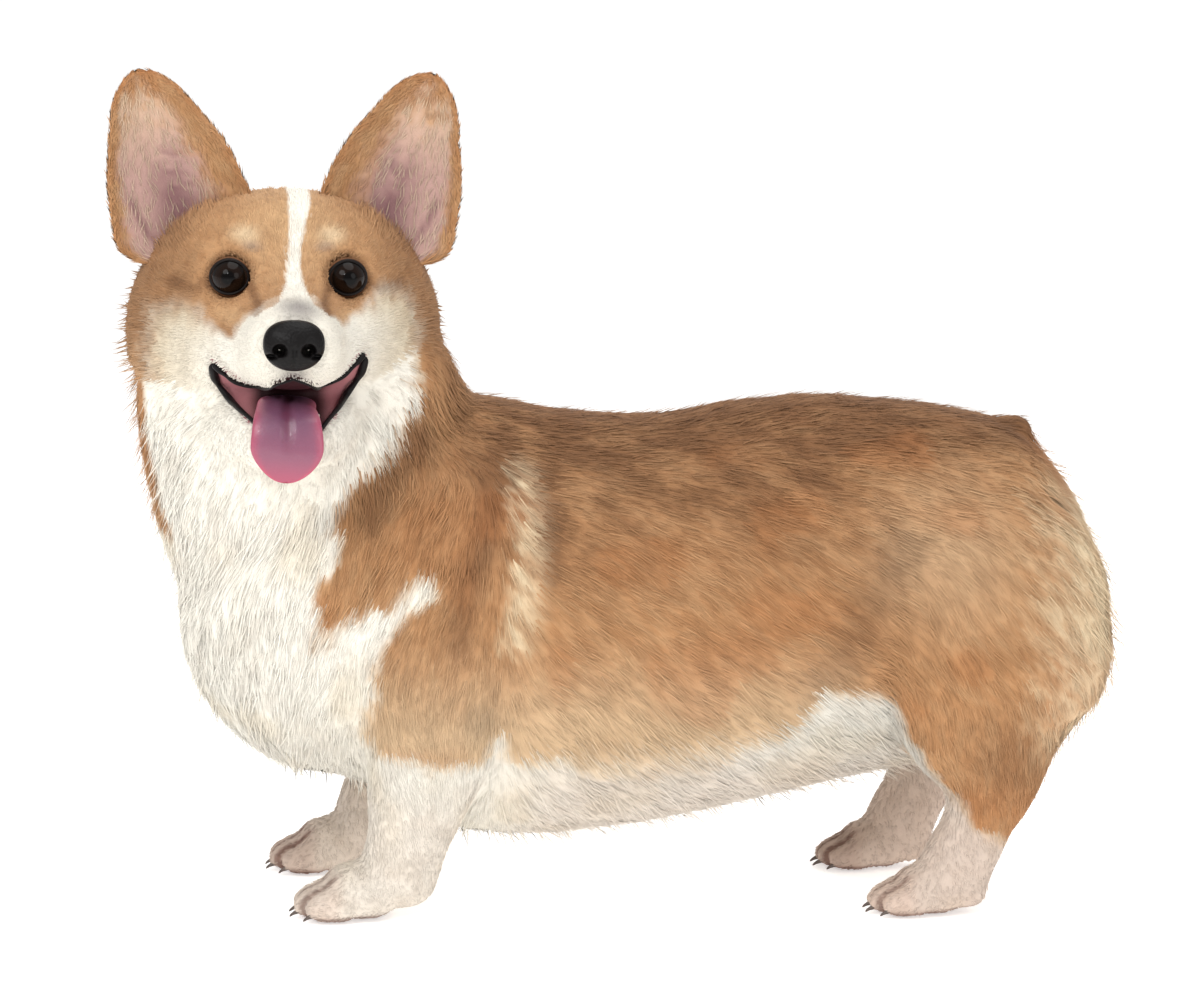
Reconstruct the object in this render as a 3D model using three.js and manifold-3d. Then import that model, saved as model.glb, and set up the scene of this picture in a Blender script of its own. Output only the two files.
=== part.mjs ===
// A life-size standing Pembroke corgi with its head turned to its left, out to the tips of its coat.
// Millimetres. +Z is up, -Y is where the body faces, +X is the dog's left. The soles stand on FLOOR,
// a little under the zero that the body's heights are measured from.
import * as THREE from "three";
import { mergeVertices } from "three/addons/utils/BufferGeometryUtils.js";
import Module from "manifold-3d";

const wasm = await Module();
wasm.setup();

// Driving dimensions of the body, coat included.
const WITHERS = 289; // height of the back over the shoulders
const RUMP_TOP = 301; // height of the back over the loin, its highest line
const CHEST_FRONT = -250; // the breast's foremost point
const RUMP_BACK = 304; // the breeches' rearmost point
const CHEST_HALF = 99; // half the width over the ribs
const LOIN_HALF = 90; // half the width over the loin
const KEEL = 30; // height of the belly fringe behind the elbows
const TUCK = 66; // height of the belly in front of the stifle

// Driving dimensions of the legs.
const FLOOR = -5; // height of the floor
const FORE_TRACK = 62; // a forepaw's distance from the middle
const HIND_TRACK = 61; // a hind paw's distance from the middle
const FORE_PAW_Y = -148; // middle of the left forepaw
const HIND_PAW_Y = 192; // middle of the left hind paw
const FORE_STEP = -11; // how far the right forepaw stands ahead of the left one
const HIND_STEP = -13; // the same of the hind paws
const ELBOW = 96; // height of the cut over the forearm
const WRIST = 27; // height of the cut over the forepaw
const STIFLE = 104; // height of the cut over the shank
const ANKLE = 29; // height of the cut over the hind paw

// Driving dimensions of the head. Its own frame faces -Y, with z = 0 at the eyes.
const HEAD_AT = new THREE.Vector3(35, -190.4, 373.8);
const HEAD_TURN = THREE.MathUtils.degToRad(90.9); // to the dog's left
const EYE_OUT = 33; // half the distance between the eyes
const EYE_RADIUS = 11.5;
const NOSE_TIP = 129; // from the head's origin to the front of the nose
const SKULL_TOP = 48; // over the eyes
const CHEEK_HALF = 94; // half the width over the cheek ruff
const EAR_TIP = 114; // over the eyes
const EAR_THICK = 6;

const GAP = 0.4; // clearance where two pieces meet
const TONGUE_ROOM = 0.8; // clearance about the tongue, which folds over the lip
const SEAM = 6; // how far outside a leg's own form its seam with the body runs
const FAR = 900; // larger than the dog
const UP = new THREE.Vector3(0, 0, 1);
const AHEAD = new THREE.Vector3(0, -1, 0);

// One station of a form: where its path passes, and how far the skin is from the path to either
// side, on the upper or front side, and on the lower or back side.
const at = (x, y, z, across, above, below) => ({
  point: new THREE.Vector3(x, y, z),
  size: new THREE.Vector3(across, above, below),
});

// Signed power, for the rounded-square outline of a section.
const bulge = (value, power) => Math.sign(value) * Math.abs(value) ** power;

// A closed rounded form along a smooth path through its stations. The section is square to the path,
// with its upper side towards rise. fullness 2 gives ellipses and more gives squarer sections, for
// the upper and the lower half. ends is the share of the path that rounds off at each end. cup bends
// a flat form backwards in its middle, as a share of its half width.
function form(stations, options = {}) {
  const { around = 20, along = 14, rise = UP, fullness = [2.2, 2.2], ends = 0.16, cup = 0 } = options;
  const path = new THREE.CatmullRomCurve3(stations.map((s) => s.point));
  const sizes = new THREE.CatmullRomCurve3(stations.map((s) => s.size));
  const ball = new THREE.SphereGeometry(1, around, along);
  const place = ball.getAttribute("position");
  const map = ball.getAttribute("uv");
  for (let i = 0; i < place.count; i++) {
    const turn = 2 * Math.PI * map.getX(i);
    const t = (1 - Math.cos(Math.PI * (1 - map.getY(i)))) / 2;
    const endward = Math.max(0, 1 - Math.min(t, 1 - t) / ends);
    const rounding = Math.sqrt(Math.max(0, 1 - endward ** 2));
    const tangent = path.getTangent(t);
    const side = new THREE.Vector3().crossVectors(tangent, rise).normalize();
    const top = new THREE.Vector3().crossVectors(side, tangent).normalize();
    const size = sizes.getPoint(t);
    const upper = Math.sin(turn) >= 0;
    const power = 2 / fullness[upper ? 0 : 1];
    const over = rounding * bulge(Math.cos(turn), power);
    const rose = rounding * bulge(Math.sin(turn), power) * (upper ? size.y : size.z);
    const p = path.getPoint(t);
    p.addScaledVector(side, over * size.x);
    p.addScaledVector(top, rose - cup * size.x * rounding * (1 - over ** 2));
    place.setXYZ(i, p.x, p.y, p.z);
  }
  return ball;
}

// The same geometry seen in a mirror, for the dog's right side.
function mirrored(geometry) {
  const copy = geometry.clone().scale(-1, 1, 1);
  const order = copy.index.array;
  for (let i = 0; i < order.length; i += 3) [order[i], order[i + 1]] = [order[i + 1], order[i]];
  return copy;
}

// A geometry as a solid, moved outwards by grow along its normals.
function solid(geometry, grow = 0) {
  const bare = geometry.clone().deleteAttribute("normal").deleteAttribute("uv");
  const merged = mergeVertices(bare, 1e-3);
  merged.computeVertexNormals();
  const place = merged.getAttribute("position");
  const normal = merged.getAttribute("normal");
  for (let i = 0; i < place.array.length; i++) place.array[i] += grow * normal.array[i];
  const triVerts = new Uint32Array(merged.index.array);
  const made = new wasm.Manifold(new wasm.Mesh({ numProp: 3, vertProperties: place.array, triVerts }));
  if (made.volume() > 0) return made;
  for (let i = 0; i < triVerts.length; i += 3)
    [triVerts[i], triVerts[i + 1]] = [triVerts[i + 1], triVerts[i]];
  return new wasm.Manifold(new wasm.Mesh({ numProp: 3, vertProperties: place.array, triVerts }));
}

const joined = (solids) => solids.reduce((sum, next) => sum.add(next));
const without = (base, solids) => solids.reduce((rest, next) => rest.subtract(next), base);

// A box between two corners.
function box(low, high) {
  const size = high.map((value, i) => value - low[i]);
  const middle = high.map((value, i) => (value + low[i]) / 2);
  return solid(new THREE.BoxGeometry(...size).translate(...middle));
}

// All that lies beyond a plane through a point, on the side that the normal points to.
function beyond(point, normal) {
  const turn = new THREE.Quaternion().setFromUnitVectors(UP, normal.clone().normalize());
  const half = new THREE.BoxGeometry(2 * FAR, 2 * FAR, FAR).translate(0, 0, FAR / 2);
  return solid(half.applyQuaternion(turn).translate(point.x, point.y, point.z));
}

const layer = (low, high) => box([-FAR, -FAR, low], [FAR, FAR, high]);
const slice = (from, to) => box([-FAR, from, -FAR], [FAR, to, FAR]);

// Keeps the largest body of a solid, so that a cut leaves no crumbs.
function largest(made) {
  const bodies = made.decompose().sort((a, b) => b.volume() - a.volume());
  return bodies[0];
}

// The trunk, from the breast to the breeches.
function trunkForm() {
  return form(
    [
      at(0, CHEST_FRONT, 146, 62, 80, 72),
      at(0, -198, 156, 82, 102, 86),
      at(0, -148, 164, 95, 118, 104),
      at(0, -88, 168, CHEST_HALF, WITHERS - 157, 168 - KEEL - 4),
      at(0, -30, 168, CHEST_HALF, WITHERS - 167, 168 - KEEL),
      at(0, 32, 166, 97, WITHERS - 168, 166 - KEEL - 8),
      at(0, 92, 168, 93, RUMP_TOP - 173, 168 - TUCK + 14),
      at(0, 150, 174, LOIN_HALF, RUMP_TOP - 174, 174 - TUCK),
      at(0, 205, 182, LOIN_HALF + 2, RUMP_TOP - 187, 182 - TUCK - 8),
      at(0, 252, 186, LOIN_HALF, RUMP_TOP - 202, 106),
      at(0, RUMP_BACK, 190, 72, 80, 98),
    ],
    { around: 22, along: 17, fullness: [2.3, 1.8], ends: 0.11 },
  );
}

// The neck with its ruff, from the shoulders up into the head.
function neckForm() {
  return form(
    [
      at(0, -138, 150, 64, 84, 70),
      at(1, -160, 205, 72, 94, 92),
      at(5, -176, 255, 76, 95, 102),
      at(12, -184, 300, 68, 94, 98),
      at(18, -190, 345, 55, 86, 82),
      at(20, -191, 385, 40, 62, 62),
    ],
    { around: 18, along: 10, rise: AHEAD, fullness: [2.2, 2.2], ends: 0.14 },
  );
}

// The skull, cheeks and upper muzzle, in the head's frame.
function headForm() {
  return form(
    [
      at(0, 78, -36, 50, 52, 40),
      at(0, 48, -36, 78, SKULL_TOP + 31, 54),
      at(0, 14, -36, CHEEK_HALF, SKULL_TOP + 36, 60),
      at(0, -14, -36, CHEEK_HALF - 12, SKULL_TOP + 34, 54),
      at(0, -34, -36, 64, SKULL_TOP + 28, 40),
      at(0, -50, -36, 50, 47, 30),
      at(0, -66, -36, 38, 35, 26),
      at(0, -84, -36, 32, 30, 25),
      at(0, -103, -36, 28, 26, 23),
      at(0, -121, -36, 22, 21, 19),
    ],
    { around: 22, along: 19, fullness: [2.0, 2.4], ends: 0.1 },
  );
}

// The ridge of the brow over the left eye.
const browForm = () => new THREE.SphereGeometry(1, 8, 6).scale(20, 10, 12).translate(22, -35, 17);

// The lower jaw, hanging open by about fifteen degrees.
function jawForm() {
  return form(
    [
      at(0, -8, -92, 54, 32, 30),
      at(0, -36, -89, 46, 29, 26),
      at(0, -60, -91, 35, 25, 19),
      at(0, -80, -94, 25, 17, 14),
      at(0, -94, -97, 19, 12, 10),
    ],
    { around: 14, along: 9, fullness: [2.6, 2.2], ends: 0.16 },
  );
}

// A lower canine tooth.
const toothForm = () =>
  new THREE.ConeGeometry(2.4, 12, 6).rotateX(Math.PI / 2 + 1.3).translate(15, -87, -78);

// The tongue, out over the lower lip and hanging down.
function tongueForm() {
  return form(
    [
      at(0, -50, -70, 15, 4.5, 4.5),
      at(-1, -72, -70, 16, 5, 5),
      at(-3, -92, -70, 16.5, 5, 5),
      at(-3, -105, -76, 19, 4.6, 4.6),
      at(-3, -110, -90, 20.5, 4, 4),
      at(-4, -109, -110, 17, 3.4, 3.4),
    ],
    { around: 10, along: 12, rise: UP.clone().add(AHEAD), fullness: [2.6, 2.6], ends: 0.2 },
  );
}

// The bare nose leather.
function noseForm() {
  return form(
    [
      at(0, -110, -31, 17, 14, 14),
      at(0, -119, -31, 17.5, 14, 15),
      at(0, -NOSE_TIP, -30.5, 14, 11, 11),
    ],
    { around: 12, along: 6, fullness: [2.4, 2.1], ends: 0.4 },
  );
}

const eyeForm = () => new THREE.SphereGeometry(EYE_RADIUS, 10, 7).translate(EYE_OUT, -43, 0);

// The left ear: a tall cupped leaf that opens forwards and leans outwards.
function earForm() {
  return form(
    [
      at(53, -2, 6, 42, EAR_THICK, EAR_THICK),
      at(59.5, 4, 32, 42, EAR_THICK / 2, EAR_THICK / 2),
      at(68, 10, 60, 37.5, EAR_THICK / 2, EAR_THICK / 2),
      at(77.5, 13, 88, 26, EAR_THICK / 2, EAR_THICK / 2),
      at(86.5, 14, EAR_TIP, 14.5, EAR_THICK / 2, EAR_THICK / 2),
    ],
    { around: 14, along: 10, rise: AHEAD, fullness: [2.4, 2.4], ends: 0.18, cup: 0.45 },
  );
}

// The left foreleg's stations from the shoulder to the wrist.
function forelegStations(step) {
  const x = FORE_TRACK;
  const y = FORE_PAW_Y;
  return [
    at(x - 18, y + 62, 236, 30, 44, 48),
    at(x + 4, y + 54, 180, 38, 54, 54),
    at(x + 8, y + 48, 130, 35, 48, 46),
    at(x + 5, y + 43, ELBOW, 31, 40, 39),
    at(x + 2, y + 36 + step / 2, 64, 25, 30, 30),
    at(x, y + 30 + step, 36, 22, 24, 24),
    at(x, y + 22 + step, FLOOR + 6, 22, 26, 22),
  ];
}

// The left hind leg's stations from the hip to the ankle.
function hindLegStations(step) {
  const x = HIND_TRACK;
  const y = HIND_PAW_Y;
  return [
    at(x - 30, y + 26, 256, 32, 44, 54),
    at(x - 5, y + 24, 200, 44, 60, 84),
    at(x - 4, y + 22, 150, 44, 58, 90),
    at(x - 1, y + 27, STIFLE, 36, 42, 76),
    at(x, y + 35 + step / 2, 72, 26, 26, 34),
    at(x, y + 30 + step, 46, 20, 21, 21),
    at(x, y + 20 + step, 22, 20, 23, 21),
    at(x, y + 14 + step, FLOOR + 4, 20, 22, 24),
  ];
}

// A paw: the sole's body, four toes side by side, and a claw on each toe.
function pawSolid(x, y, width, length, height) {
  const sole = form(
    [
      at(x, y + length * 0.36, FLOOR + height * 0.42, width * 0.4, height * 0.5, height * 0.46),
      at(x, y, FLOOR + height * 0.44, width * 0.47, height * 0.6, height * 0.47),
      at(x, y - length * 0.26, FLOOR + height * 0.34, width * 0.4, height * 0.45, height * 0.4),
    ],
    { around: 8, along: 5, ends: 0.3, fullness: [2, 2.6] },
  );
  const parts = [solid(sole)];
  for (const lane of [-1.5, -0.5, 0.5, 1.5]) {
    const back = Math.abs(lane) > 1 ? 0.1 : 0;
    const tip = y - length * (0.5 - back);
    const middle = x + lane * width * 0.245;
    const toe = form(
      [
        at(middle, tip + length * 0.42, FLOOR + height * 0.42, width * 0.13, height * 0.36, height * 0.42),
        at(middle, tip + length * 0.2, FLOOR + height * 0.32, width * 0.145, height * 0.32, height * 0.34),
        at(middle, tip, FLOOR + height * 0.21, width * 0.115, height * 0.17, height * 0.23),
      ],
      { around: 6, along: 4, ends: 0.34 },
    );
    const claw = new THREE.ConeGeometry(2.3, 10, 4).rotateX(Math.PI / 2 + 0.35);
    claw.translate(middle, tip - length * 0.035, FLOOR + height * 0.14);
    parts.push(solid(toe), solid(claw));
  }
  return joined(parts);
}

// The docked tail, a short rounded stump.
function tailForm() {
  return form([at(0, 230, 267, 17, 15, 15), at(0, 248, 273, 18, 16, 15), at(0, 264, 271, 15, 13, 13)], {
    around: 10,
    along: 6,
    ends: 0.3,
  });
}

// Brings a geometry from the head's frame into the dog's.
const onHead = (geometry) => geometry.rotateZ(HEAD_TURN).translate(...HEAD_AT);

// A point or a direction of the head's frame, as seen in the dog's.
const headPoint = (x, y, z) => new THREE.Vector3(x, y, z).applyAxisAngle(UP, HEAD_TURN).add(HEAD_AT);
const headDirection = (x, y, z) => new THREE.Vector3(x, y, z).normalize().applyAxisAngle(UP, HEAD_TURN);

const aboveFloor = layer(FLOOR, FAR);

// One leg in its pieces. The thigh or the shoulder is cut from the body square to its side, so the
// stations are carried out past the skin for the cut.
function legPieces(side, stations, shape, paw, cuts, inner) {
  const [upperCut, pawCut] = cuts;
  const turned = (geometry) => (side < 0 ? mirrored(geometry) : geometry);
  const limb = turned(form(stations, shape));
  const spread = stations.map(({ point, size }) =>
    at(100, point.y, point.z, 200, size.y + SEAM, size.z + SEAM),
  );
  const cut = turned(form(spread, shape));
  const outside = (grow) =>
    beyond(new THREE.Vector3(side * (inner - grow), 0, 0), new THREE.Vector3(side, 0, 0));
  const region = (grow) =>
    solid(cut, grow).intersect(outside(grow)).intersect(layer(upperCut - grow, FAR));
  const leg = solid(limb);
  return {
    haunch: leg.intersect(layer(upperCut, FAR)),
    region: region(0),
    lower: leg.intersect(layer(pawCut, upperCut - GAP)),
    paw: paw.add(leg).intersect(layer(FLOOR, pawCut - GAP)),
    room: region(GAP).add(solid(limb, GAP).intersect(layer(-FAR, upperCut))),
  };
}

function foreleg(side, step) {
  const paw = pawSolid(side * FORE_TRACK, FORE_PAW_Y + step, 52, 75, 32);
  const shape = { around: 12, along: 11, rise: AHEAD, ends: 0.08 };
  return legPieces(side, forelegStations(step), shape, paw, [ELBOW, WRIST], 46);
}

function hindLeg(side, step) {
  const paw = pawSolid(side * HIND_TRACK, HIND_PAW_Y + step, 46, 70, 29);
  const shape = { around: 12, along: 13, rise: AHEAD, ends: 0.08 };
  return legPieces(side, hindLegStations(step), shape, paw, [STIFLE, ANKLE], 36);
}

const legs = {
  foreleg_left: foreleg(1, 0),
  foreleg_right: foreleg(-1, FORE_STEP),
  hindleg_left: hindLeg(1, 0),
  hindleg_right: hindLeg(-1, HIND_STEP),
};

// The head's small pieces.
const headGeometry = onHead(headForm());
const neckGeometry = neckForm();
const tongueGeometry = onHead(tongueForm());
const noseGeometry = onHead(noseForm());
const eyeGeometries = { left: onHead(eyeForm()), right: onHead(mirrored(eyeForm())) };
const earGeometries = { left: onHead(earForm()), right: onHead(mirrored(earForm())) };
const tailGeometry = tailForm();
const teeth = [solid(onHead(toothForm())), solid(onHead(mirrored(toothForm())))];

const brows = [solid(onHead(browForm())), solid(onHead(mirrored(browForm())))];
const headSolid = joined([solid(headGeometry), ...brows]);
const neckSolid = solid(neckGeometry);
const trunkSolid = solid(trunkForm());

// The body is modelled whole, and then parted with thin cuts.
const haunches = Object.values(legs).map((leg) => leg.haunch);
const whole = without(joined([trunkSolid, neckSolid, headSolid, ...haunches]), [
  solid(tongueGeometry, TONGUE_ROOM),
  solid(noseGeometry, GAP),
  solid(eyeGeometries.left, GAP),
  solid(eyeGeometries.right, GAP),
  solid(tailGeometry, GAP),
]);
const flesh = without(whole, Object.values(legs).map((leg) => leg.room));

// The head ends behind the cheeks, in front of the withers, and level under the throat.
const THROAT = HEAD_AT.z - 100;
const nape = { point: headPoint(0, 34, -62), normal: headDirection(0, -0.64, 0.77) };
const poll = { point: new THREE.Vector3(0, -84, 330), normal: new THREE.Vector3(0, -0.94, 0.34) };

// The neck ends in front of the withers and over the breast.
const NECK_REAR = -92;
const collar = {
  point: new THREE.Vector3(0, NECK_REAR, 275),
  normal: new THREE.Vector3(0, -0.245, 0.9695),
};

// All that lies beyond a plane moved back by grow.
const past = ({ point, normal }, grow) => beyond(point.clone().addScaledVector(normal, -grow), normal);
const headRegion = (grow) =>
  past(nape, grow).intersect(past(poll, grow)).intersect(layer(THROAT - grow, FAR));
const neckRegion = (grow) => past(collar, grow).intersect(slice(-FAR, NECK_REAR + grow));

const LOIN_FROM = -38; // where the rib cage passes into the loin
const RUMP_FROM = 112; // where the loin passes into the rump
const headRoom = headRegion(GAP);
const body = flesh.subtract(neckRegion(GAP)).subtract(headRoom);

const pieces = {
  head: flesh.intersect(headRegion(0)),
  neck: flesh.intersect(neckRegion(0)).subtract(headRoom),
  chest: body.intersect(slice(-FAR, LOIN_FROM)),
  loin: body.intersect(slice(LOIN_FROM + GAP, RUMP_FROM)),
  rump: body.intersect(slice(RUMP_FROM + GAP, FAR)),
  tail: solid(tailGeometry),
  tongue: solid(tongueGeometry),
  nose: solid(noseGeometry),
  jaw: without(joined([solid(onHead(jawForm())), ...teeth]), [
    solid(headGeometry, GAP),
    solid(neckGeometry, GAP),
    solid(tongueGeometry, TONGUE_ROOM),
  ]),
};
for (const side of ["left", "right"]) {
  pieces["eye_" + side] = solid(eyeGeometries[side]);
  pieces["ear_" + side] = without(solid(earGeometries[side]), [
    solid(headGeometry, GAP),
    solid(neckGeometry, GAP),
  ]);
  for (const limb of ["foreleg", "hindleg"]) {
    const leg = legs[limb + "_" + side];
    pieces[limb + "_" + side + "_upper"] = whole.intersect(leg.region);
    pieces[limb + "_" + side + "_lower"] = leg.lower;
    pieces[(limb === "foreleg" ? "forepaw_" : "hindpaw_") + side] = leg.paw;
  }
}

// Coat, leather and eye colours.
const COLOURS = {
  fawn: new THREE.MeshStandardMaterial({ color: "#b98352", roughness: 0.85, metalness: 0 }),
  white: new THREE.MeshStandardMaterial({ color: "#ece6da", roughness: 0.85, metalness: 0 }),
  leather: new THREE.MeshStandardMaterial({ color: "#1d1a1b", roughness: 0.45, metalness: 0 }),
  tongue: new THREE.MeshStandardMaterial({ color: "#c0688a", roughness: 0.4, metalness: 0 }),
  eye: new THREE.MeshStandardMaterial({ color: "#1a1210", roughness: 0.08, metalness: 0 }),
};

function colourOf(name) {
  if (name === "nose") return COLOURS.leather;
  if (name === "tongue") return COLOURS.tongue;
  if (name.startsWith("eye")) return COLOURS.eye;
  if (/jaw|paw|foreleg.*lower/.test(name)) return COLOURS.white;
  return COLOURS.fawn;
}

function meshOf(name, made) {
  const data = largest(made.intersect(aboveFloor)).getMesh();
  const geometry = new THREE.BufferGeometry();
  geometry.setAttribute("position", new THREE.BufferAttribute(data.vertProperties, 3));
  geometry.setIndex(new THREE.BufferAttribute(data.triVerts, 1));
  geometry.computeVertexNormals();
  const mesh = new THREE.Mesh(geometry, colourOf(name));
  mesh.name = name;
  return mesh;
}

const corgi = new THREE.Group();
for (const [name, made] of Object.entries(pieces)) corgi.add(meshOf(name, made));

// The origin is on the floor, under the middle of the whole dog.
const room = new THREE.Box3().setFromObject(corgi);
const middle = room.getCenter(new THREE.Vector3());
corgi.position.set(-middle.x, -middle.y, -room.min.z);

export default corgi;
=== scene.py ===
"""A life-size standing Pembroke corgi: skin, coat, eyes, nose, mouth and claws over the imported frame."""
import math

import bmesh
import bpy
import numpy as np
from mathutils import Matrix, Vector
from mathutils.bvhtree import BVHTree


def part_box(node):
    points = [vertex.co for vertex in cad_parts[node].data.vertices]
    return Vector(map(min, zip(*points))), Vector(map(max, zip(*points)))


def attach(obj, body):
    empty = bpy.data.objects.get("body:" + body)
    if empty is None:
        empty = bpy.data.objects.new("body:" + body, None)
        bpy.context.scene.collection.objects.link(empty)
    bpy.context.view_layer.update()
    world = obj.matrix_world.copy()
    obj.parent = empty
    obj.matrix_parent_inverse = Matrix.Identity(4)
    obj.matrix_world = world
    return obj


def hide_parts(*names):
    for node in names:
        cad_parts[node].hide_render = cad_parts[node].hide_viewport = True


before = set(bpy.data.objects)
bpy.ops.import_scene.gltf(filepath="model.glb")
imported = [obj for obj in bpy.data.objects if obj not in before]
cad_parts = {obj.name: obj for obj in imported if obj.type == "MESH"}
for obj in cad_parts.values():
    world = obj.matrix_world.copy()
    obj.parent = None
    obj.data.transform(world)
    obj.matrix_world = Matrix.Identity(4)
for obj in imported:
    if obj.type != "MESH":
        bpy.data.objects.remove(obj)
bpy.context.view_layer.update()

scene = bpy.context.scene

# Sizes, in millimetres.
HEAD_AT = np.array([35.0, -190.4, 373.8])  # the head's origin in the body's frame, level with the eyes
HEAD_TURN = math.radians(90.9)  # the head looks to the dog's left
EYE_AT = np.array([33.0, -43.0, 0.0])  # the left eye in the head's frame
EYE_RADIUS = 11.5
FLOOR = -5.0  # height of the floor: the body's heights are measured from a little over it
FORE_TRACK, HIND_TRACK = 62, 61
FORE_PAW_Y, HIND_PAW_Y = -148, 192
FORE_STEP, HIND_STEP = -11, -13
SKIN_VOXEL = 3.0  # mesh size of the skin
FAR, TINY = 1e9, 1e-9
UP = np.array([0.0, 0.0, 1.0])
AHEAD = np.array([0.0, -1.0, 0.0])


def head_to_body(points):
    """Points of the head's frame in the body's frame."""
    c, s = math.cos(HEAD_TURN), math.sin(HEAD_TURN)
    p = np.asarray(points, float)
    return np.stack([p[..., 0] * c - p[..., 1] * s, p[..., 0] * s + p[..., 1] * c, p[..., 2]], -1) + HEAD_AT


def body_to_head(points):
    """Points of the body's frame in the head's frame."""
    c, s = math.cos(HEAD_TURN), math.sin(HEAD_TURN)
    p = np.asarray(points, float) - HEAD_AT
    return np.stack([p[..., 0] * c + p[..., 1] * s, -p[..., 0] * s + p[..., 1] * c, p[..., 2]], -1)


def eye_middle():
    """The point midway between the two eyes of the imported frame."""
    corners = [np.array(corner) for name in ("eye_left", "eye_right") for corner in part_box(name)]
    return np.mean(corners, axis=0) * 1000


# The body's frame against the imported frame, read off the eyes.
OFFSET = eye_middle() - head_to_body(EYE_AT * [0, 1, 1])

# Small helpers.


def step(low, high, value):
    """0 below low, 1 above high, and smooth between."""
    t = np.clip((np.asarray(value, float) - low) / (high - low), 0, 1)
    return t * t * (3 - 2 * t)


def mix(a, b, share):
    """a where share is 0, and b where it is 1."""
    share = np.asarray(share, float)
    if np.ndim(a) > 1 or np.ndim(b) > 1 or (np.ndim(a) == 1 and len(a) == 3 and np.ndim(share) == 1):
        share = share[..., None]
    return a * (1 - share) + b * share


def unit(vectors):
    """The same directions at length 1."""
    return vectors / np.maximum(np.linalg.norm(vectors, axis=-1, keepdims=True), TINY)


def lattice(cells, seed):
    """A repeatable random number from 0 to 1 for each whole-numbered cell."""
    x, y, z = (cells[..., k] for k in range(3))
    h = (x * 73856093) ^ (y * 19349663) ^ (z * 83492791) ^ (seed * 2654435)
    h = (h ^ (h >> 13)) * 1274126177
    return ((h ^ (h >> 16)) & 0xFFFFFF) / float(0xFFFFFF)


def noise(points, size, seed):
    """Smooth noise from 0 to 1 with patches of about size millimetres."""
    p = np.asarray(points, float) / size
    cell = np.floor(p).astype(np.int64)
    f = p - cell
    f = f * f * (3 - 2 * f)
    total = 0
    for dx in (0, 1):
        for dy in (0, 1):
            for dz in (0, 1):
                weight = (
                    (f[..., 0] if dx else 1 - f[..., 0])
                    * (f[..., 1] if dy else 1 - f[..., 1])
                    * (f[..., 2] if dz else 1 - f[..., 2])
                )
                total = total + weight * lattice(cell + [dx, dy, dz], seed)
    return total


def rgb(code):
    """Linear colour of an sRGB hex value."""
    parts = np.array([int(code[i : i + 2], 16) / 255 for i in (1, 3, 5)])
    return np.where(parts <= 0.04045, parts / 12.92, ((parts + 0.055) / 1.055) ** 2.4)


# Forms.


def curve(points, t):
    """Points along a centripetal curve through the given ones, for t from 0 to 1."""
    pts = np.asarray(points, float)
    p = (len(pts) - 1) * np.clip(t, 0, 1)
    i = np.minimum(p.astype(int), len(pts) - 2)
    w = (p - i)[:, None]
    ext = np.vstack([2 * pts[0] - pts[1], pts, 2 * pts[-1] - pts[-2]])
    a, b, c, d = ext[i], ext[i + 1], ext[i + 2], ext[i + 3]
    e0, e1, e2 = (np.linalg.norm(v, axis=1, keepdims=True) ** 0.5 for v in (b - a, c - b, d - c))
    e1 = np.where(e1 < 1e-4, 1.0, e1)
    e0, e2 = np.where(e0 < 1e-4, e1, e0), np.where(e2 < 1e-4, e1, e2)
    t1 = ((b - a) / e0 - (c - a) / (e0 + e1) + (c - b) / e1) * e1
    t2 = ((c - b) / e1 - (d - b) / (e1 + e2) + (d - c) / e2) * e1
    return b + t1 * w + (-3 * b + 3 * c - 2 * t1 - t2) * w**2 + (2 * b - 2 * c + t1 + t2) * w**3


def on_form(stations, t, turn, rise=UP, fullness=(2.2, 2.2), ends=0.16, cup=0.0):
    """Points of a form's surface: t along its path, turn round it from its side over its top."""
    rows = np.asarray(stations, float)
    path, size = curve(rows[:, :3], t), curve(rows[:, 3:], t)
    along = unit(curve(rows[:, :3], np.minimum(t + 1e-4, 1)) - curve(rows[:, :3], np.maximum(t - 1e-4, 0)))
    side = unit(np.cross(along, rise))
    top = np.cross(side, along)
    rounding = np.sqrt(np.maximum(0, 1 - np.maximum(0, 1 - np.minimum(t, 1 - t) / ends) ** 2))
    upper = np.sin(turn) >= 0
    power = np.where(upper, 2 / fullness[0], 2 / fullness[1])
    over = rounding * np.sign(np.cos(turn)) * np.abs(np.cos(turn)) ** power
    rose = rounding * np.sign(np.sin(turn)) * np.abs(np.sin(turn)) ** power
    rose = rose * np.where(upper, size[:, 1], size[:, 2]) - cup * size[:, 0] * rounding * (1 - over**2)
    return path + side * (over * size[:, 0])[:, None] + top * rose[:, None]


def globe(around, along):
    """A ball of radius 1, with its points, and their place along (t) and round (turn) its upright axis."""
    ball = bmesh.new()
    bmesh.ops.create_uvsphere(ball, u_segments=around, v_segments=along, radius=1)
    at = np.array([v.co for v in ball.verts])
    return ball, at, (1 - at[:, 2]) / 2, np.arctan2(at[:, 1], at[:, 0])


def moved(shape, spots):
    """The same bmesh with its points at these spots."""
    for vert, spot in zip(shape.verts, spots):
        vert.co = spot
    return shape


def form(stations, around=64, along=56, place=None, **shape):
    """A closed rounded form through its stations, as a bmesh."""
    ball, _, t, turn = globe(around, along)
    spots = on_form(stations, t, turn, **shape)
    moved(ball, place(spots) if place else spots)
    bmesh.ops.recalc_face_normals(ball, faces=ball.faces)
    return ball


def on_side(stations, side):
    """Stations of the left side, or the same ones on the dog's right where side is -1."""
    return [(side * row[0], *row[1:]) for row in stations]


def brow(side):
    """The rise of an eyebrow."""
    ball, at, _, _ = globe(24, 16)
    return moved(ball, head_to_body(np.float32(at * (20, 10, 12) + (side * 22, -35, 17))))


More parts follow.
